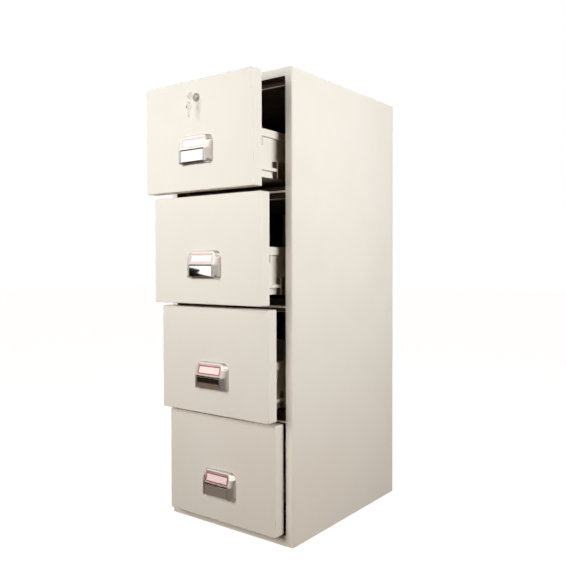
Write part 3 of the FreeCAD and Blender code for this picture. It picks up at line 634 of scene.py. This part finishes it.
# %% Carve the housings
FLAP_RECESS_HALF = 49.2
FLAP_CLEARANCE = 1.5
RECESS_ROOM = 0.8
FINGER_DEPTH = 19.0
LABEL_HALF = 48.0
LABEL_RISE = 6.0
LABEL_HEIGHT = 29.5
LABEL_RECESS = 1.6
CUT_PAST = 2.0
LABEL_CUT_PAST = 3.0
HOUSING_EDGE = 0.5
HOUSING_CREASE = 48


def add_housing(number):
    """Makes a pull's housing and returns where its face and its foot are."""
    face_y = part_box(f"drawer_front_{number}")[0][1]
    foot_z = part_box(f"handle_flap_{number}")[0][2] - (FOOT_ROUND + FLAP_CLEARANCE) * MM
    piece = add_piece(f"pull_housing_{number}", housing_mesh(face_y, foot_z))
    nose_y = face_y - NOSE_DEPTH * MM
    low = (-FLAP_RECESS_HALF * MM, nose_y - CUT_PAST * MM, foot_z - CUT_PAST * MM)
    high = (FLAP_RECESS_HALF * MM, nose_y + FINGER_DEPTH * MM, foot_z + (FLAP_TOP + RECESS_ROOM) * MM)
    carve(piece, low, high)
    slope = Vector((0, math.sin(LEAN), math.cos(LEAN)))
    inward = Vector((0, math.cos(LEAN), -math.sin(LEAN)))
    nose = Vector((0, nose_y, foot_z + FLAP_TOP * MM))
    corner = nose + slope * LABEL_RISE * MM - inward * LABEL_CUT_PAST * MM
    low = (-LABEL_HALF * MM, corner.y, corner.z)
    depth = (LABEL_CUT_PAST + LABEL_RECESS) * MM
    carve(piece, low, (LABEL_HALF * MM, corner.y + depth, corner.z + LABEL_HEIGHT * MM), lean=-LEAN)
    rounded(piece, HOUSING_EDGE, angle=HOUSING_CREASE, crisp_from=HOUSING_CREASE)
    fixed(piece, "silver_paint", "silver_paint", f"drawer_{number}", f"handle_{number}")
    return face_y, foot_z


HOUSINGS = {number: add_housing(number) for number in DRAWERS}
print("housings on drawers:", sorted(HOUSINGS))

# %% [markdown]
# ### Finger flaps and wells
#
# The chrome flap hangs from a rod along its upper edge and has a lip along its lower edge. Behind
# it is a dark plastic well for the fingers, partly a real dark part and partly painted shade, with a
# dark apron down to the flap that is painted shade in the gap above it. The well shows only as a
# thin dark line round the flap, but that line is what separates the flap from the housing.

# %% Finger flaps
FLAP_THICKNESS = 2.4
FLAP_HALF = 48.0
FLAP_EDGE = 0.4
FLAP_CREASE = 20
LIP_INSET = 0.3
LIP_OVERLAP = 0.6
LIP_RISE = 0.1
BARREL_RADIUS = 2.6
BARREL_INSET = 0.5
PIVOT_RADIUS = 1.5


def rod_between(work, start, end, radius, sides=24):
    """Adds a straight round rod between two points to a bmesh."""
    along = end - start
    turn = Vector((0, 0, 1)).rotation_difference(along).to_matrix().to_4x4()
    bmesh.ops.create_cone(
        work,
        cap_ends=True,
        segments=sides,
        radius1=radius,
        radius2=radius,
        depth=along.length,
        matrix=Matrix.Translation((start + end) / 2) @ turn,
    )


def add_flap(number, nose_y):
    """The flap with its lip, its rolled upper edge and the pivots at both ends."""
    low, high = node_box(f"handle_flap_{number}")
    half, rear_y = FLAP_HALF * MM, nose_y + FLAP_THICKNESS * MM
    work = bmesh.new()
    add_bar(work, (-half, nose_y, low.z), (half, rear_y, high.z))
    lip_half = half - LIP_INSET * MM
    lip_low = (-lip_half, rear_y - LIP_OVERLAP * MM, low.z + LIP_RISE * MM)
    add_bar(work, lip_low, (lip_half, high.y, low.z + FLAP_THICKNESS * MM))
    barrel = Vector((0, nose_y + BARREL_RADIUS * MM, high.z - BARREL_RADIUS * MM))
    for reach, radius in ((half - BARREL_INSET * MM, BARREL_RADIUS * MM), (high.x, PIVOT_RADIUS * MM)):
        rod_between(work, barrel - Vector((reach, 0, 0)), barrel + Vector((reach, 0, 0)), radius)
    flap = rounded(add_shape(f"finger_flap_{number}", work), FLAP_EDGE, crisp_from=FLAP_CREASE)
    fixed(flap, "bright_chrome", "bright_chrome", f"flap_{number}", f"handle_flap_{number}")


# %% Finger wells
WELL_SHEET = 0.5
WELL_FIT = 0.1
WELL_SET_BACK = 0.3
WELL_BASE = 10.0
SHADE_APRON_GAP = 1.2
SHADE_APRON_DEPTH = 5.0


def add_well(number, nose_y, foot_z):
    """The well's top, back and sides, partly painted shade, and a painted-shade apron down to the flap."""
    shade_apron_z = node_box(f"handle_flap_{number}")[1].z + SHADE_APRON_GAP * MM
    outer, sheet = (FLAP_RECESS_HALF + WELL_FIT) * MM, WELL_SHEET * MM
    front, back = nose_y + WELL_SET_BACK * MM, nose_y + (FINGER_DEPTH + WELL_FIT) * MM
    base_z, top_z = foot_z + WELL_BASE * MM, foot_z + (FLAP_TOP + RECESS_ROOM + WELL_FIT) * MM
    work = bmesh.new()
    add_bar(work, (-outer, front, top_z - sheet), (outer, back, top_z))
    add_bar(work, (-outer, back - sheet, base_z), (outer, back, top_z))
    # This dark apron is painted shade: it fills the gap above the flap where shadow falls.
    add_bar(work, (-outer, front, shade_apron_z), (outer, front + SHADE_APRON_DEPTH * MM, top_z))
    add_bar_pair(work, (outer - sheet, front, base_z), (outer, back, top_z))
    well = add_shape(f"finger_well_{number}", work)
    fixed(well, "buffer_rubber", "seal_rubber", f"drawer_{number}")


for number, (face_y, foot_z) in HOUSINGS.items():
    nose_y = face_y - NOSE_DEPTH * MM
    add_flap(number, nose_y)
    add_well(number, nose_y, foot_z)
print("flaps and wells:", len(HOUSINGS))

# %% [markdown]
# ### Label borders
#
# The card in each holder has a red border. On the upper drawers card and border are painted paler,
# a painted highlight for the light that washes them out. It is a raised ring on the card, made from
# four mitred sides, and it leans back with the card.

# %% Label borders


def lean_frame(face_y, foot_z):
    """The matrix from a label's own plane, across and up its slope, to the cabinet."""
    nose = Vector((0, face_y - NOSE_DEPTH * MM, foot_z + FLAP_TOP * MM))
    return Matrix.Translation(nose) @ Matrix.Rotation(-LEAN, 4, "X")


def bridge(work, loops):
    """Joins each closed loop of points to the next one with a band of faces."""
    for first, second in zip(loops, loops[1:]):
        for index in range(len(first)):
            following = (index + 1) % len(first)
            work.faces.new((first[index], first[following], second[following], second[index]))


def add_ring(work, outer, inner, low_y, high_y):
    """A flat rectangular ring in the XZ plane with its thickness along Y."""
    loops = []
    for y in (low_y, high_y):
        for half, low_z, high_z in (outer, inner):
            corners = [(-half, low_z), (half, low_z), (half, high_z), (-half, high_z)]
            loops.append([work.verts.new((x, y, z)) for x, z in corners])
    front_outer, front_inner, back_outer, back_inner = loops
    bridge(work, [front_outer, front_inner, back_inner, back_outer, front_outer])


# %% Borders on the cards
BORDER_WIDTH = 3.8
BORDER_GAP = 0.5
BORDER_FRONT = 0.2
BORDER_BACK = 0.9
BORDER_EDGE = 0.15
for number, (face_y, foot_z) in HOUSINGS.items():
    work = bmesh.new()
    half = (LABEL_HALF - BORDER_GAP) * MM
    low_z = (LABEL_RISE + BORDER_GAP) * MM
    high_z = (LABEL_RISE + LABEL_HEIGHT - BORDER_GAP) * MM
    width = BORDER_WIDTH * MM
    outer, inner = (half, low_z, high_z), (half - width, low_z + width, high_z - width)
    add_ring(work, outer, inner, BORDER_FRONT * MM, BORDER_BACK * MM)
    bmesh.ops.transform(work, matrix=lean_frame(face_y, foot_z), verts=work.verts)
    border = rounded(add_shape(f"label_border_{number}", work), BORDER_EDGE, segments=1)
    fixed(border, f"border_{number}", "card", f"drawer_{number}")
print("label borders:", len(HOUSINGS))

# %% [markdown]
# ## Keys and split ring
#
# A key stays in the lock, and its twin hangs from a split ring. The blades have teeth cut along
# one edge and a pointed tip. The ring is one spring wire that runs round nearly twice, so it is
# swept along a flat coil and not made from a torus.

# %% The shape of a key
KEY_HALF = 1.1
KEY_EDGE = 0.25
BOW_RADIUS = 12.0
BOW_HOLE = 2.5
BOW_SIDES = 40
HOLE_INSET = 5.0
SHOULDER = BOW_RADIUS - KEY_HALF
BLADE_HALF = 3.5
TEETH = (1.6, 0.4, 2.2, 1.0, 2.6, 0.8, 1.8)
TEETH_START = 0.3
TEETH_SHARE = 0.58
TOOTH_FLAT = (0.35, 0.7)
TIP = ((0.92, 0.4 - BLADE_HALF), (1.0, -0.6), (1.0, 0.6), (0.94, BLADE_HALF))


def blade_outline(length):
    """A key blade along +Y from its shoulder, with cuts along one edge and a pointed tip."""
    points = [(0.0, BLADE_HALF), (0.0, -BLADE_HALF), (length * TEETH_START, -BLADE_HALF)]
    run = length * TEETH_SHARE / len(TEETH)
    for index, cut_depth in enumerate(TEETH):
        start = length * TEETH_START + run * index
        points += [(start + run * part, cut_depth - BLADE_HALF) for part in TOOTH_FLAT]
    return points + [(length * part, height) for part, height in TIP]


# %% Helpers for a key's mesh


def add_prism(work, outline_points, half):
    """A flat shape in the YZ plane that reaches half its thickness to each side along X."""
    near, far = [[work.verts.new((x, y, z)) for y, z in outline_points] for x in (-half, half)]
    work.faces.new(near)
    work.faces.new(reversed(far))
    bridge(work, [near, far])


def add_bow(work, half):
    """A round key bow with its hole, as bands of faces round both."""
    loops = []
    turns = [math.tau * side / BOW_SIDES for side in range(BOW_SIDES)]
    for x in (-half, half):
        for middle, reach in ((0.0, BOW_RADIUS), (HOLE_INSET - BOW_RADIUS, BOW_HOLE)):
            loop = [(x, middle + reach * math.cos(turn), reach * math.sin(turn)) for turn in turns]
            loops.append([work.verts.new(point) for point in loop])
    near_rim, near_hole, far_rim, far_hole = loops
    bridge(work, [near_rim, near_hole, far_hole, far_rim, near_rim])


def add_key(name, matrix, length, body_name, node_name):
    """A key whose bow's middle is the matrix's origin and whose blade runs along its +Y."""
    work = bmesh.new()
    add_bow(work, KEY_HALF)
    add_prism(work, [(SHOULDER + y, z) for y, z in blade_outline(length)], KEY_HALF)
    bmesh.ops.scale(work, vec=(MM, MM, MM), verts=work.verts)
    bmesh.ops.transform(work, matrix=matrix, verts=work.verts)
    piece = rounded(add_shape(name, work), KEY_EDGE, angle=50)
    fixed(piece, "nickel", "nickel", body_name, node_name)


# %% Both keys
low, high = node_box("key")
bow_centre = Vector((0, low.y + BOW_RADIUS * MM, (low.z + high.z) / 2))
blade_length = (high.y - bow_centre.y) / MM - SHOULDER
add_key("key_in_lock", Matrix.Translation(bow_centre), blade_length, "lock_turn", "key")
low, high = node_box("spare_key")
spare_bow = Vector((0, (low.y + high.y) / 2, high.z - BOW_RADIUS * MM))
hang = Matrix.Translation(spare_bow) @ Matrix.Rotation(math.radians(-90), 4, "X")
spare_length = (spare_bow.z - low.z) / MM - SHOULDER
add_key("key_on_ring", hang, spare_length, "spare", "spare_key")
print("key blades in millimetres:", round(blade_length, 1), round(spare_length, 1))

# %% Split ring
RING_TURNS = 1.9
RING_STEPS = 120
RING_START = 0.6


def sweep(points, radius, sides=10):
    """A round wire along a list of points, with closed ends."""
    work = bmesh.new()
    loops = []
    for index, point in enumerate(points):
        ahead = points[min(index + 1, len(points) - 1)]
        behind = points[max(index - 1, 0)]
        along = (ahead - behind).normalized()
        side = along.cross(Vector((0, 1, 0))).normalized()
        other = along.cross(side)
        turns = [math.tau * step / sides for step in range(sides)]
        loop = [point + (side * math.cos(turn) + other * math.sin(turn)) * radius for turn in turns]
        loops.append([work.verts.new(spot) for spot in loop])
    bridge(work, loops)
    work.faces.new(reversed(loops[0]))
    work.faces.new(loops[-1])
    return work


low, high = node_box("key_ring")
wire = (high.y - low.y) / 4
ring_radius = (high.x - low.x) / 2 - wire
coil = []
for step in range(RING_STEPS + 1):
    part = step / RING_STEPS
    turn = math.tau * RING_TURNS * part + RING_START
    shift = (part - 0.5) * wire * 2
    place = (ring_radius * math.sin(turn), shift, ring_radius * math.cos(turn))
    coil.append((low + high) / 2 + Vector(place))
split_ring = smooth(add_shape("split_ring", sweep(coil, wire)))
fixed(split_ring, "nickel", "bright_chrome", "ring", "key_ring")
print("ring across in millimetres:", round((high.x - low.x) / MM, 1))

# %% [markdown]
# ## Slide buffers and ball rows
#
# Each travelling slide member carries a dark rubber buffer at its front end, above and below the
# drawer's runner. Rows of steel balls run between the member and the runner. The balls repeat
# along a line, so a Geometry Nodes tree sets them out and fixes their material.

# %% Slide buffers
BUFFER_LENGTH = 8.0
BUFFER_OVERLAP = 1.0
BUFFER_MARGIN = 1.0
BUFFER_EDGE = 1.2
BUFFER_REACH = 9.4
RUNNER_HALF = 5.0
RUNNER_ROOM = 0.4
WEB_INSET = 3.0


def slide_box(number):
    """The corners of the box round a pair of travelling slides, and their middle height."""
    low, high = node_box(f"middle_slides_{number}")
    return low, high, (low.z + high.z) / 2


for number in DRAWERS:
    low, high, centre_z = slide_box(number)
    inner_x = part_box(f"drawer_tray_{number}")[1][0] - BUFFER_REACH * MM
    outer_x = high.x - WEB_INSET * MM
    near, far = low.y - BUFFER_LENGTH * MM, low.y + BUFFER_OVERLAP * MM
    room, margin = (RUNNER_HALF + RUNNER_ROOM) * MM, BUFFER_MARGIN * MM
    work = bmesh.new()
    for base, top in ((centre_z + room, high.z - margin), (low.z + margin, centre_z - room)):
        add_bar_pair(work, (inner_x, near, base), (outer_x, far, top))
    buffers = rounded(add_shape(f"slide_buffers_{number}", work), BUFFER_EDGE, segments=3)
    fixed(buffers, "buffer_rubber", "seal_rubber", f"slide_{number}")
print("buffers on slides:", len(DRAWERS))

# %% A node tree for things that repeat on points
ZERO_TURN = (0.0, 0.0, 0.0)


def socket_key(tree, label):
    """The identifier of a modifier input, which isn't its name."""
    inputs = [item for item in tree.interface.items_tree if item.in_out == "INPUT"]
    return next(item.identifier for item in inputs if item.name == label)


def start_tree(name, sizes):
    """A Geometry Nodes tree with a mesh coming in, named sizes, a material and a mesh going out."""
    inputs = [("Points", "Geometry")] + [(label, "Float", size * MM) for label, size in sizes.items()]
    inputs += [("Turn", "Vector"), ("Material", "Material")]
    return new_group(name, inputs, [("Geometry", "Geometry")], "GeometryNodeTree")


def end_tree(tree, given, result, shape):
    """Sets the shape on each point, makes it real and gives it the material."""
    values = {"Points": given.outputs["Points"], "Instance": shape, "Rotation": given.outputs["Turn"]}
    spread = add_node(tree, "GeometryNodeInstanceOnPoints", values)
    real = add_node(tree, "GeometryNodeRealizeInstances", {"Geometry": spread.outputs["Instances"]})
    values = {"Geometry": real.outputs["Geometry"], "Material": given.outputs["Material"]}
    paint = add_node(tree, "GeometryNodeSetMaterial", values)
    put(tree, result.inputs["Geometry"], paint.outputs["Geometry"])
    return tree


def repeat(name, tree, points, material_name, body_name, turn=ZERO_TURN):
    """Runs a tree on a set of points and keeps the result as one plain steel piece."""
    mesh = bpy.data.meshes.new(name)
    mesh.from_pydata(points, [], [])
    piece = add_piece(name, mesh)
    modifier = piece.modifiers.new("Repeat", "NODES")
    modifier.node_group = tree
    modifier[socket_key(tree, "Turn")] = turn
    modifier[socket_key(tree, "Material")] = MATERIALS[material_name]
    fixed(smooth(baked(piece)), material_name, "zinc_steel", body_name)
# %% Ball rows
BALL_PITCH = 13.0
BALL_RADIUS = 2.3
ROW_END_GAP = 18.0


def ball_tree():
    tree, given, result = start_tree("ball_row", {"Radius": BALL_RADIUS})
    values = {"Subdivisions": 2, "Radius": given.outputs["Radius"]}
    ball = add_node(tree, "GeometryNodeMeshIcoSphere", values)
    return end_tree(tree, given, result, ball.outputs["Mesh"])


BALLS = ball_tree()
for number in DRAWERS:
    low, high, centre_z = slide_box(number)
    ball_x = high.x - (WEB_INSET + BALL_RADIUS) * MM
    first, last = low.y + ROW_END_GAP * MM, high.y - ROW_END_GAP * MM
    count = int((last - first) / (BALL_PITCH * MM)) + 1
    level = (RUNNER_HALF + RUNNER_ROOM + BALL_RADIUS) * MM
    rows = [(ball_x * side, centre_z + level * above) for side in (1, -1) for above in (1, -1)]
    spots = [(x, first + step * BALL_PITCH * MM, z) for step in range(count) for x, z in rows]
    repeat(f"slide_balls_{number}", BALLS, spots, "nickel", f"slide_{number}")
print("balls on each slide pair:", len(spots))

# %% [markdown]
# ## Screws
#
# The back sheet and the plates behind the drawer heads are screwed on from behind. A screw head
# is a low cone with a recess for the driver, made once as a node tree and set out on points. The
# first drawer's plate carries the bolt case at its upper middle, so no screw goes there.

# %% A node tree for screw heads
HEAD_SIDES = 20
HEAD_TAPER = 0.72
RECESS_SHARE = 0.55


def screw_tree():
    """A flat-topped screw head with a round drive recess."""
    sizes = {"Radius": 4.0, "Height": 2.2, "Recess": 1.4}
    tree, given, result = start_tree("screw_head", sizes)
    radius, height, recess = (given.outputs[label] for label in sizes)
    top_radius = combine(tree, "MULTIPLY", radius, HEAD_TAPER)
    values = {"Radius Top": top_radius, "Radius Bottom": radius, "Depth": height}
    head = add_node(tree, "GeometryNodeMeshCone", {"Vertices": HEAD_SIDES, **values}).outputs
    values = {"Mesh": head["Mesh"], "Selection": head["Top"], "Offset Scale": 0.0}
    step = add_node(tree, "GeometryNodeExtrudeMesh", values).outputs
    values = {"Geometry": step["Mesh"], "Selection": step["Top"], "Scale": RECESS_SHARE}
    shrunk = add_node(tree, "GeometryNodeScaleElements", values).outputs["Geometry"]
    inwards = combine(tree, "MULTIPLY", recess, -1.0)
    values = {"Mesh": shrunk, "Selection": step["Top"], "Offset Scale": inwards}
    sunk = add_node(tree, "GeometryNodeExtrudeMesh", values)
    return end_tree(tree, given, result, sunk.outputs["Mesh"])


SCREWS = screw_tree()
print("nodes in the screw tree:", len(SCREWS.nodes))

# %% Screws
SCREW_EDGE = 14.0
SIDE_SCREWS = 8
MIDDLE_SCREWS = (-0.08, 0.08)
BOLT_CASE_ROOM = 0.05
BACKWARDS = (math.radians(-90), 0.0, 0.0)
low, high = node_box("back_panel")
edge = SCREW_EDGE * MM
head_y = high.y - SINK * MM
rise = (high.z - low.z - 2 * edge) / (SIDE_SCREWS - 1)
heights = [low.z + edge + rise * step for step in range(SIDE_SCREWS)]
back_spots = [(x, head_y, z) for z in heights for x in (low.x + edge, high.x - edge)]
back_spots += [(x, head_y, z) for x in MIDDLE_SCREWS for z in (low.z + edge, high.z - edge)]
repeat("back_screws", SCREWS, back_spots, "zinc_steel", "cabinet", BACKWARDS)
for number in DRAWERS:
    low, high = node_box(f"drawer_back_plate_{number}")
    head_y = high.y - SINK * MM
    xs = (low.x + edge, low.x / 2, 0.0, high.x / 2, high.x - edge)
    spots = [(x, head_y, high.z - edge) for x in xs if number != 1 or abs(x) > BOLT_CASE_ROOM]
    spots += [(x, head_y, low.z + edge) for x in xs]
    repeat(f"plate_screws_{number}", SCREWS, spots, "zinc_steel", f"drawer_{number}", BACKWARDS)
print("screws on the back sheet:", len(back_spots))

# %% [markdown]
# ## Trim that catches the light
#
# Along the top of each bay, a narrow steel strip holds the inner edge of the fire seal. It shows
# as one bright line in the dark mouth of the cabinet. The trays have a rolled bead and a folded
# band along their rims, and a short folded seam on each side wall, just behind the drawer head.

# %% Seal strips
STRIP_WIDTH = 1.6
STRIP_DEPTH = 4.0
STRIP_EDGE = 0.3
STRIP_INSET = 10.0
SEAL_MARGIN = 4.0
STEP_WIDTH = 18.0
HEAD_END_GAP = 3.25
seal_high = node_box("bay_seals")[1]
strip_half = seal_high.x - STRIP_INSET * MM
strip_front, strip_back = seal_high.y - STRIP_DEPTH * MM, seal_high.y + SINK * MM
for number in DRAWERS:
    head_top = node_box(f"drawer_front_{number}")[1].z
    top = head_top + (HEAD_END_GAP - STEP_WIDTH + SEAL_MARGIN) * MM
    work = bmesh.new()
    add_bar(work, (-strip_half, strip_front, top - STRIP_WIDTH * MM), (strip_half, strip_back, top))
    strip = rounded(add_shape(f"seal_strip_{number}", work), STRIP_EDGE, segments=1)
    fixed(strip, "cream_paint", "cream_paint", "cabinet")
print("seal strips:", len(DRAWERS))

# %% Tray beads
BEAD_RADIUS = 1.3
BEAD_SEAT = 0.4
RIM_HEIGHT = 24.0
RIM_PROUD = 3.0
RUNNER_REACH = 10.2
BAND_PROUD = 5.0
BAND_GAP = 2.0
WALL_SINK = 0.5


def add_beads(number):
    """The rolled bead round the rim of a tray's sides and back, and the band under it."""
    high = node_box(f"drawer_tray_{number}")[1]
    front_y = node_box(f"drawer_front_{number}")[1].y
    rim_x, radius = high.x - (RUNNER_REACH - RIM_PROUD) * MM, BEAD_RADIUS * MM
    bead_z, back_y = high.z - radius * BEAD_SEAT, high.y - radius
    work = bmesh.new()
    for x in (rim_x - radius, radius - rim_x):
        rod_between(work, Vector((x, front_y, bead_z)), Vector((x, back_y, bead_z)), radius)
    rod_between(work, Vector((-rim_x, back_y, bead_z)), Vector((rim_x, back_y, bead_z)), radius)
    band_low = (rim_x - WALL_SINK * MM, front_y, high.z - RIM_HEIGHT * MM)
    band_high = (rim_x + BAND_PROUD * MM, high.y - BAND_GAP * MM, high.z - BAND_GAP * MM)
    add_bar_pair(work, band_low, band_high)
    beads = smooth(add_shape(f"tray_beads_{number}", work), 50)
    fixed(beads, "cream_paint", "cream_paint", f"drawer_{number}")


# %% Tray seams
SEAM_BACK = 33.0
SEAM_WIDTH = 3.5
SEAM_PROUD = 2.6
SEAM_HEIGHT = 26.0
SEAM_OVERLAP = 1.0
SEAM_EDGE = 0.35


def add_seams(number):
    """The folded seam on both side walls of a tray."""
    high = node_box(f"drawer_tray_{number}")[1]
    near = node_box(f"drawer_front_{number}")[1].y + SEAM_BACK * MM
    wall_x, seam_top = high.x - RUNNER_REACH * MM, high.z - RIM_HEIGHT * MM
    seam_low = (wall_x - WALL_SINK * MM, near, seam_top - SEAM_HEIGHT * MM)
    seam_high = (wall_x + SEAM_PROUD * MM, near + SEAM_WIDTH * MM, seam_top + SEAM_OVERLAP * MM)
    work = bmesh.new()
    add_bar_pair(work, seam_low, seam_high)
    seams = rounded(add_shape(f"tray_seams_{number}", work), SEAM_EDGE)
    fixed(seams, "cream_paint", "cream_paint", f"drawer_{number}")


for number in DRAWERS:
    add_beads(number)
    add_seams(number)
print("trays with beads and seams:", len(DRAWERS))

# %% [markdown]
# ## Floor and backdrop
#
# The photograph is a cut-out on white, so the floor and the world look white to the camera. The
# world gives shadows a dim warm fill, and mirrors see a room in it that is brightest some way up
# and darker overhead.

# %% World
WHITE = (1.0, 1.0, 1.0, 1.0)
FILL_COLOUR = (1.0, 0.88, 0.74, 1.0)
ROOM_COLOUR = (1.0, 0.99, 0.975, 1.0)
FRONT_TO_BACK = (-0.2, 0.35)
# How bright the room is from the horizon, 0, to straight up, 1.
ROOM_HEIGHTS = {0.19: 1.0, 0.23: 0.42, 0.3: 0.66, 0.37: 1.9, 0.62: 1.9, 0.76: 0.5}


def background(tree, colour, strength):
    """A background of one colour; its strength is a socket or a number."""
    return add_node(tree, "ShaderNodeBackground", {"Color": colour, "Strength": strength}).outputs[0]


def mix_shaders(tree, factor, first, second):
    """The first shader where the factor is zero and the second where it is one."""
    return add_node(tree, "ShaderNodeMixShader", {0: factor, 1: first, 2: second}).outputs[0]


def set_world(fill, front, back):
    """White to the camera, a dim fill for shading and, for mirrors, a room brightest some way up."""
    world = bpy.data.worlds.new("studio")
    world.use_nodes = True
    scene.world = world
    tree = world.node_tree
    tree.nodes.remove(tree.nodes["Background"])
    direction = tree.nodes.new("ShaderNodeTexCoord")
    parts = add_node(tree, "ShaderNodeSeparateXYZ", {0: direction.outputs["Generated"]})
    rising = add_node(tree, "ShaderNodeValToRGB", {0: parts.outputs["Z"]})
    stops = rising.color_ramp.elements
    for index, (height, value) in enumerate(ROOM_HEIGHTS.items()):
        stop = stops[index] if index < 2 else stops.new(height)
        stop.position, stop.color = height, (value, value, value, 1.0)
    turned = remap(tree, parts.outputs["Y"], *FRONT_TO_BACK, front, back)
    room = background(tree, ROOM_COLOUR, combine(tree, "MULTIPLY", turned, rising.outputs["Color"]))
    path = tree.nodes.new("ShaderNodeLightPath").outputs
    unseen = mix_shaders(tree, path["Is Glossy Ray"], background(tree, FILL_COLOUR, fill), room)
    whole = mix_shaders(tree, path["Is Camera Ray"], unseen, background(tree, WHITE, 1.0))
    put(tree, tree.nodes["World Output"].inputs[0], whole)


set_world(fill=0.075, front=1.12, back=1.15)
print("world:", scene.world.name)

# %% Floor
FLOOR_COLOUR = (0.22, 0.12, 0.04, 1.0)


def seen_by_eye(tree):
    """One where a ray comes from the camera, a mirror or glass, and zero for stray light."""
    path = tree.nodes.new("ShaderNodeLightPath").outputs
    straight = combine(tree, "MAXIMUM", path["Is Camera Ray"], path["Is Glossy Ray"])
    return combine(tree, "MAXIMUM", straight, path["Is Transmission Ray"])


def add_sheet(name, corners):
    """A flat sheet of the studio with a new material; returns the sheet and the material's tree."""
    mesh = bpy.data.meshes.new(name)
    mesh.from_pydata(corners, [], [tuple(range(len(corners)))])
    sheet = bpy.data.objects.new(name, mesh)
    scene.collection.objects.link(sheet)
    material = bpy.data.materials.new(name)
    material.use_nodes = True
    mesh.materials.append(material)
    return sheet, material.node_tree


def add_floor(size, glow):
    """A floor that looks white to the eye, takes the shadow and throws a little warm light up."""
    half = size / 2
    corners = [(-half, -half, 0), (half, -half, 0), (half, half, 0), (-half, half, 0)]
    floor, tree = add_sheet("floor", corners)
    tree.nodes.remove(tree.nodes["Principled BSDF"])
    matt = add_node(tree, "ShaderNodeBsdfDiffuse", {"Color": FLOOR_COLOUR}).outputs[0]
    strength = combine(tree, "MULTIPLY", seen_by_eye(tree), glow)
    shine = add_node(tree, "ShaderNodeEmission", {"Strength": strength}).outputs[0]
    both = add_node(tree, "ShaderNodeAddShader", {0: matt, 1: shine}).outputs[0]
    put(tree, tree.nodes["Material Output"].inputs[0], both)
    return floor


print("floor:", add_floor(size=40.0, glow=0.985).name)

# %% [markdown]
# A bright metal shows the room. The studio in front of the cabinet was dark near the floor, so the
# lower flaps look brown and the upper ones white. Glowing cards that only mirrors can see paint
# these reflections: the floor in three strips, darker as it goes away, and a dark desk with a
# rounded end. They are painted reflections and light nothing.

# %% Cards that paint reflections for the mirrors
STRIP_HALF = 30.0
STRIP_LIFT = 0.003
DESK_Y = -3.5


def add_painted_reflection_card(name, corners, tone):
    """A flat glowing card that only reflections show, in one plain tone: a painted reflection."""
    card, tree = add_sheet(name, corners)
    shader = tree.nodes["Principled BSDF"]
    shader.inputs["Base Color"].default_value = (0.0, 0.0, 0.0, 1.0)
    shader.inputs["Specular IOR Level"].default_value = 0.0
    shader.inputs["Emission Color"].default_value = linear(*tone)
    shader.inputs["Emission Strength"].default_value = 1.0
    card.visible_camera = False
    card.visible_diffuse = False
    card.visible_shadow = False
    card.visible_transmission = False


def floor_reflection_strip(near, far):
    """A painted reflection of the floor as a strip in front of the cabinet, between two distances in
    metres.
    """
    corners = [(-STRIP_HALF, -far), (STRIP_HALF, -far), (STRIP_HALF, -near), (-STRIP_HALF, -near)]
    return [(x, y, STRIP_LIFT) for x, y in corners]


add_painted_reflection_card("near_floor_reflection", floor_reflection_strip(0.3, 1.8), (122, 110, 98))
add_painted_reflection_card("middle_floor_reflection", floor_reflection_strip(1.8, 2.45), (116, 98, 86))
add_painted_reflection_card("far_floor_reflection", floor_reflection_strip(2.45, 30.0), (40, 30, 24))
# The outline of the dark desk, in X and height, whose painted reflection shows in the flaps.
desk = [(-9.0, 0.0), (-2.1, 0.0), (-2.1, 0.55), (-2.744, 0.6), (-2.744, 0.77), (-2.801, 0.773)]
desk += [(-2.858, 0.779), (-2.909, 0.787), (-2.966, 0.8), (-2.978, 0.81), (-2.952, 0.815)]
desk += [(-2.949, 0.834), (-2.966, 0.84), (-3.0, 0.842), (-3.023, 0.85), (-3.086, 0.855)]
desk += [(-9.0, 0.857)]
add_painted_reflection_card("painted_desk_reflection", [(x, DESK_Y, z) for x, z in desk], (26, 20, 16))

# %% [markdown]
# ### Lamps
#
# Soft boxes to the right, in front and behind stand above the camera, so the top of the cabinet
# gets more light than its foot, as in the picture. Mirrors don't see them, because a lamp's
# square would show as a burnt streak on the pulls.

# %% Lamps
LAMP_COLOUR = (0.98, 1.0, 1.05)


def add_softbox(name, place, target, size, power, spread):
    """A square area lamp that looks at a point; spread is the width of its beam in degrees."""
    data = bpy.data.lights.new(name, "AREA")
    data.shape = "SQUARE"
    data.size = size
    data.energy = power
    data.color = LAMP_COLOUR
    data.spread = math.radians(spread)
    lamp = bpy.data.objects.new(name, data)
    lamp.visible_glossy = False
    lamp.location = place
    lamp.rotation_euler = (Vector(target) - Vector(place)).to_track_quat("-Z", "Y").to_euler()
    scene.collection.objects.link(lamp)


add_softbox("softbox_right", (2.6, 0.15, 1.55), (0.2, -0.75, 1.35), size=1.3, power=35.2, spread=126.0)
add_softbox("softbox_front", (-0.4, -2.9, 1.55), (0.15, -0.3, 1.3), size=1.5, power=46.5, spread=140.0)
add_softbox("softbox_back", (-1.9, 3.1, 1.9), (0.0, 0.3, 0.75), size=1.6, power=60.0, spread=150.0)

# %% Import json
import json
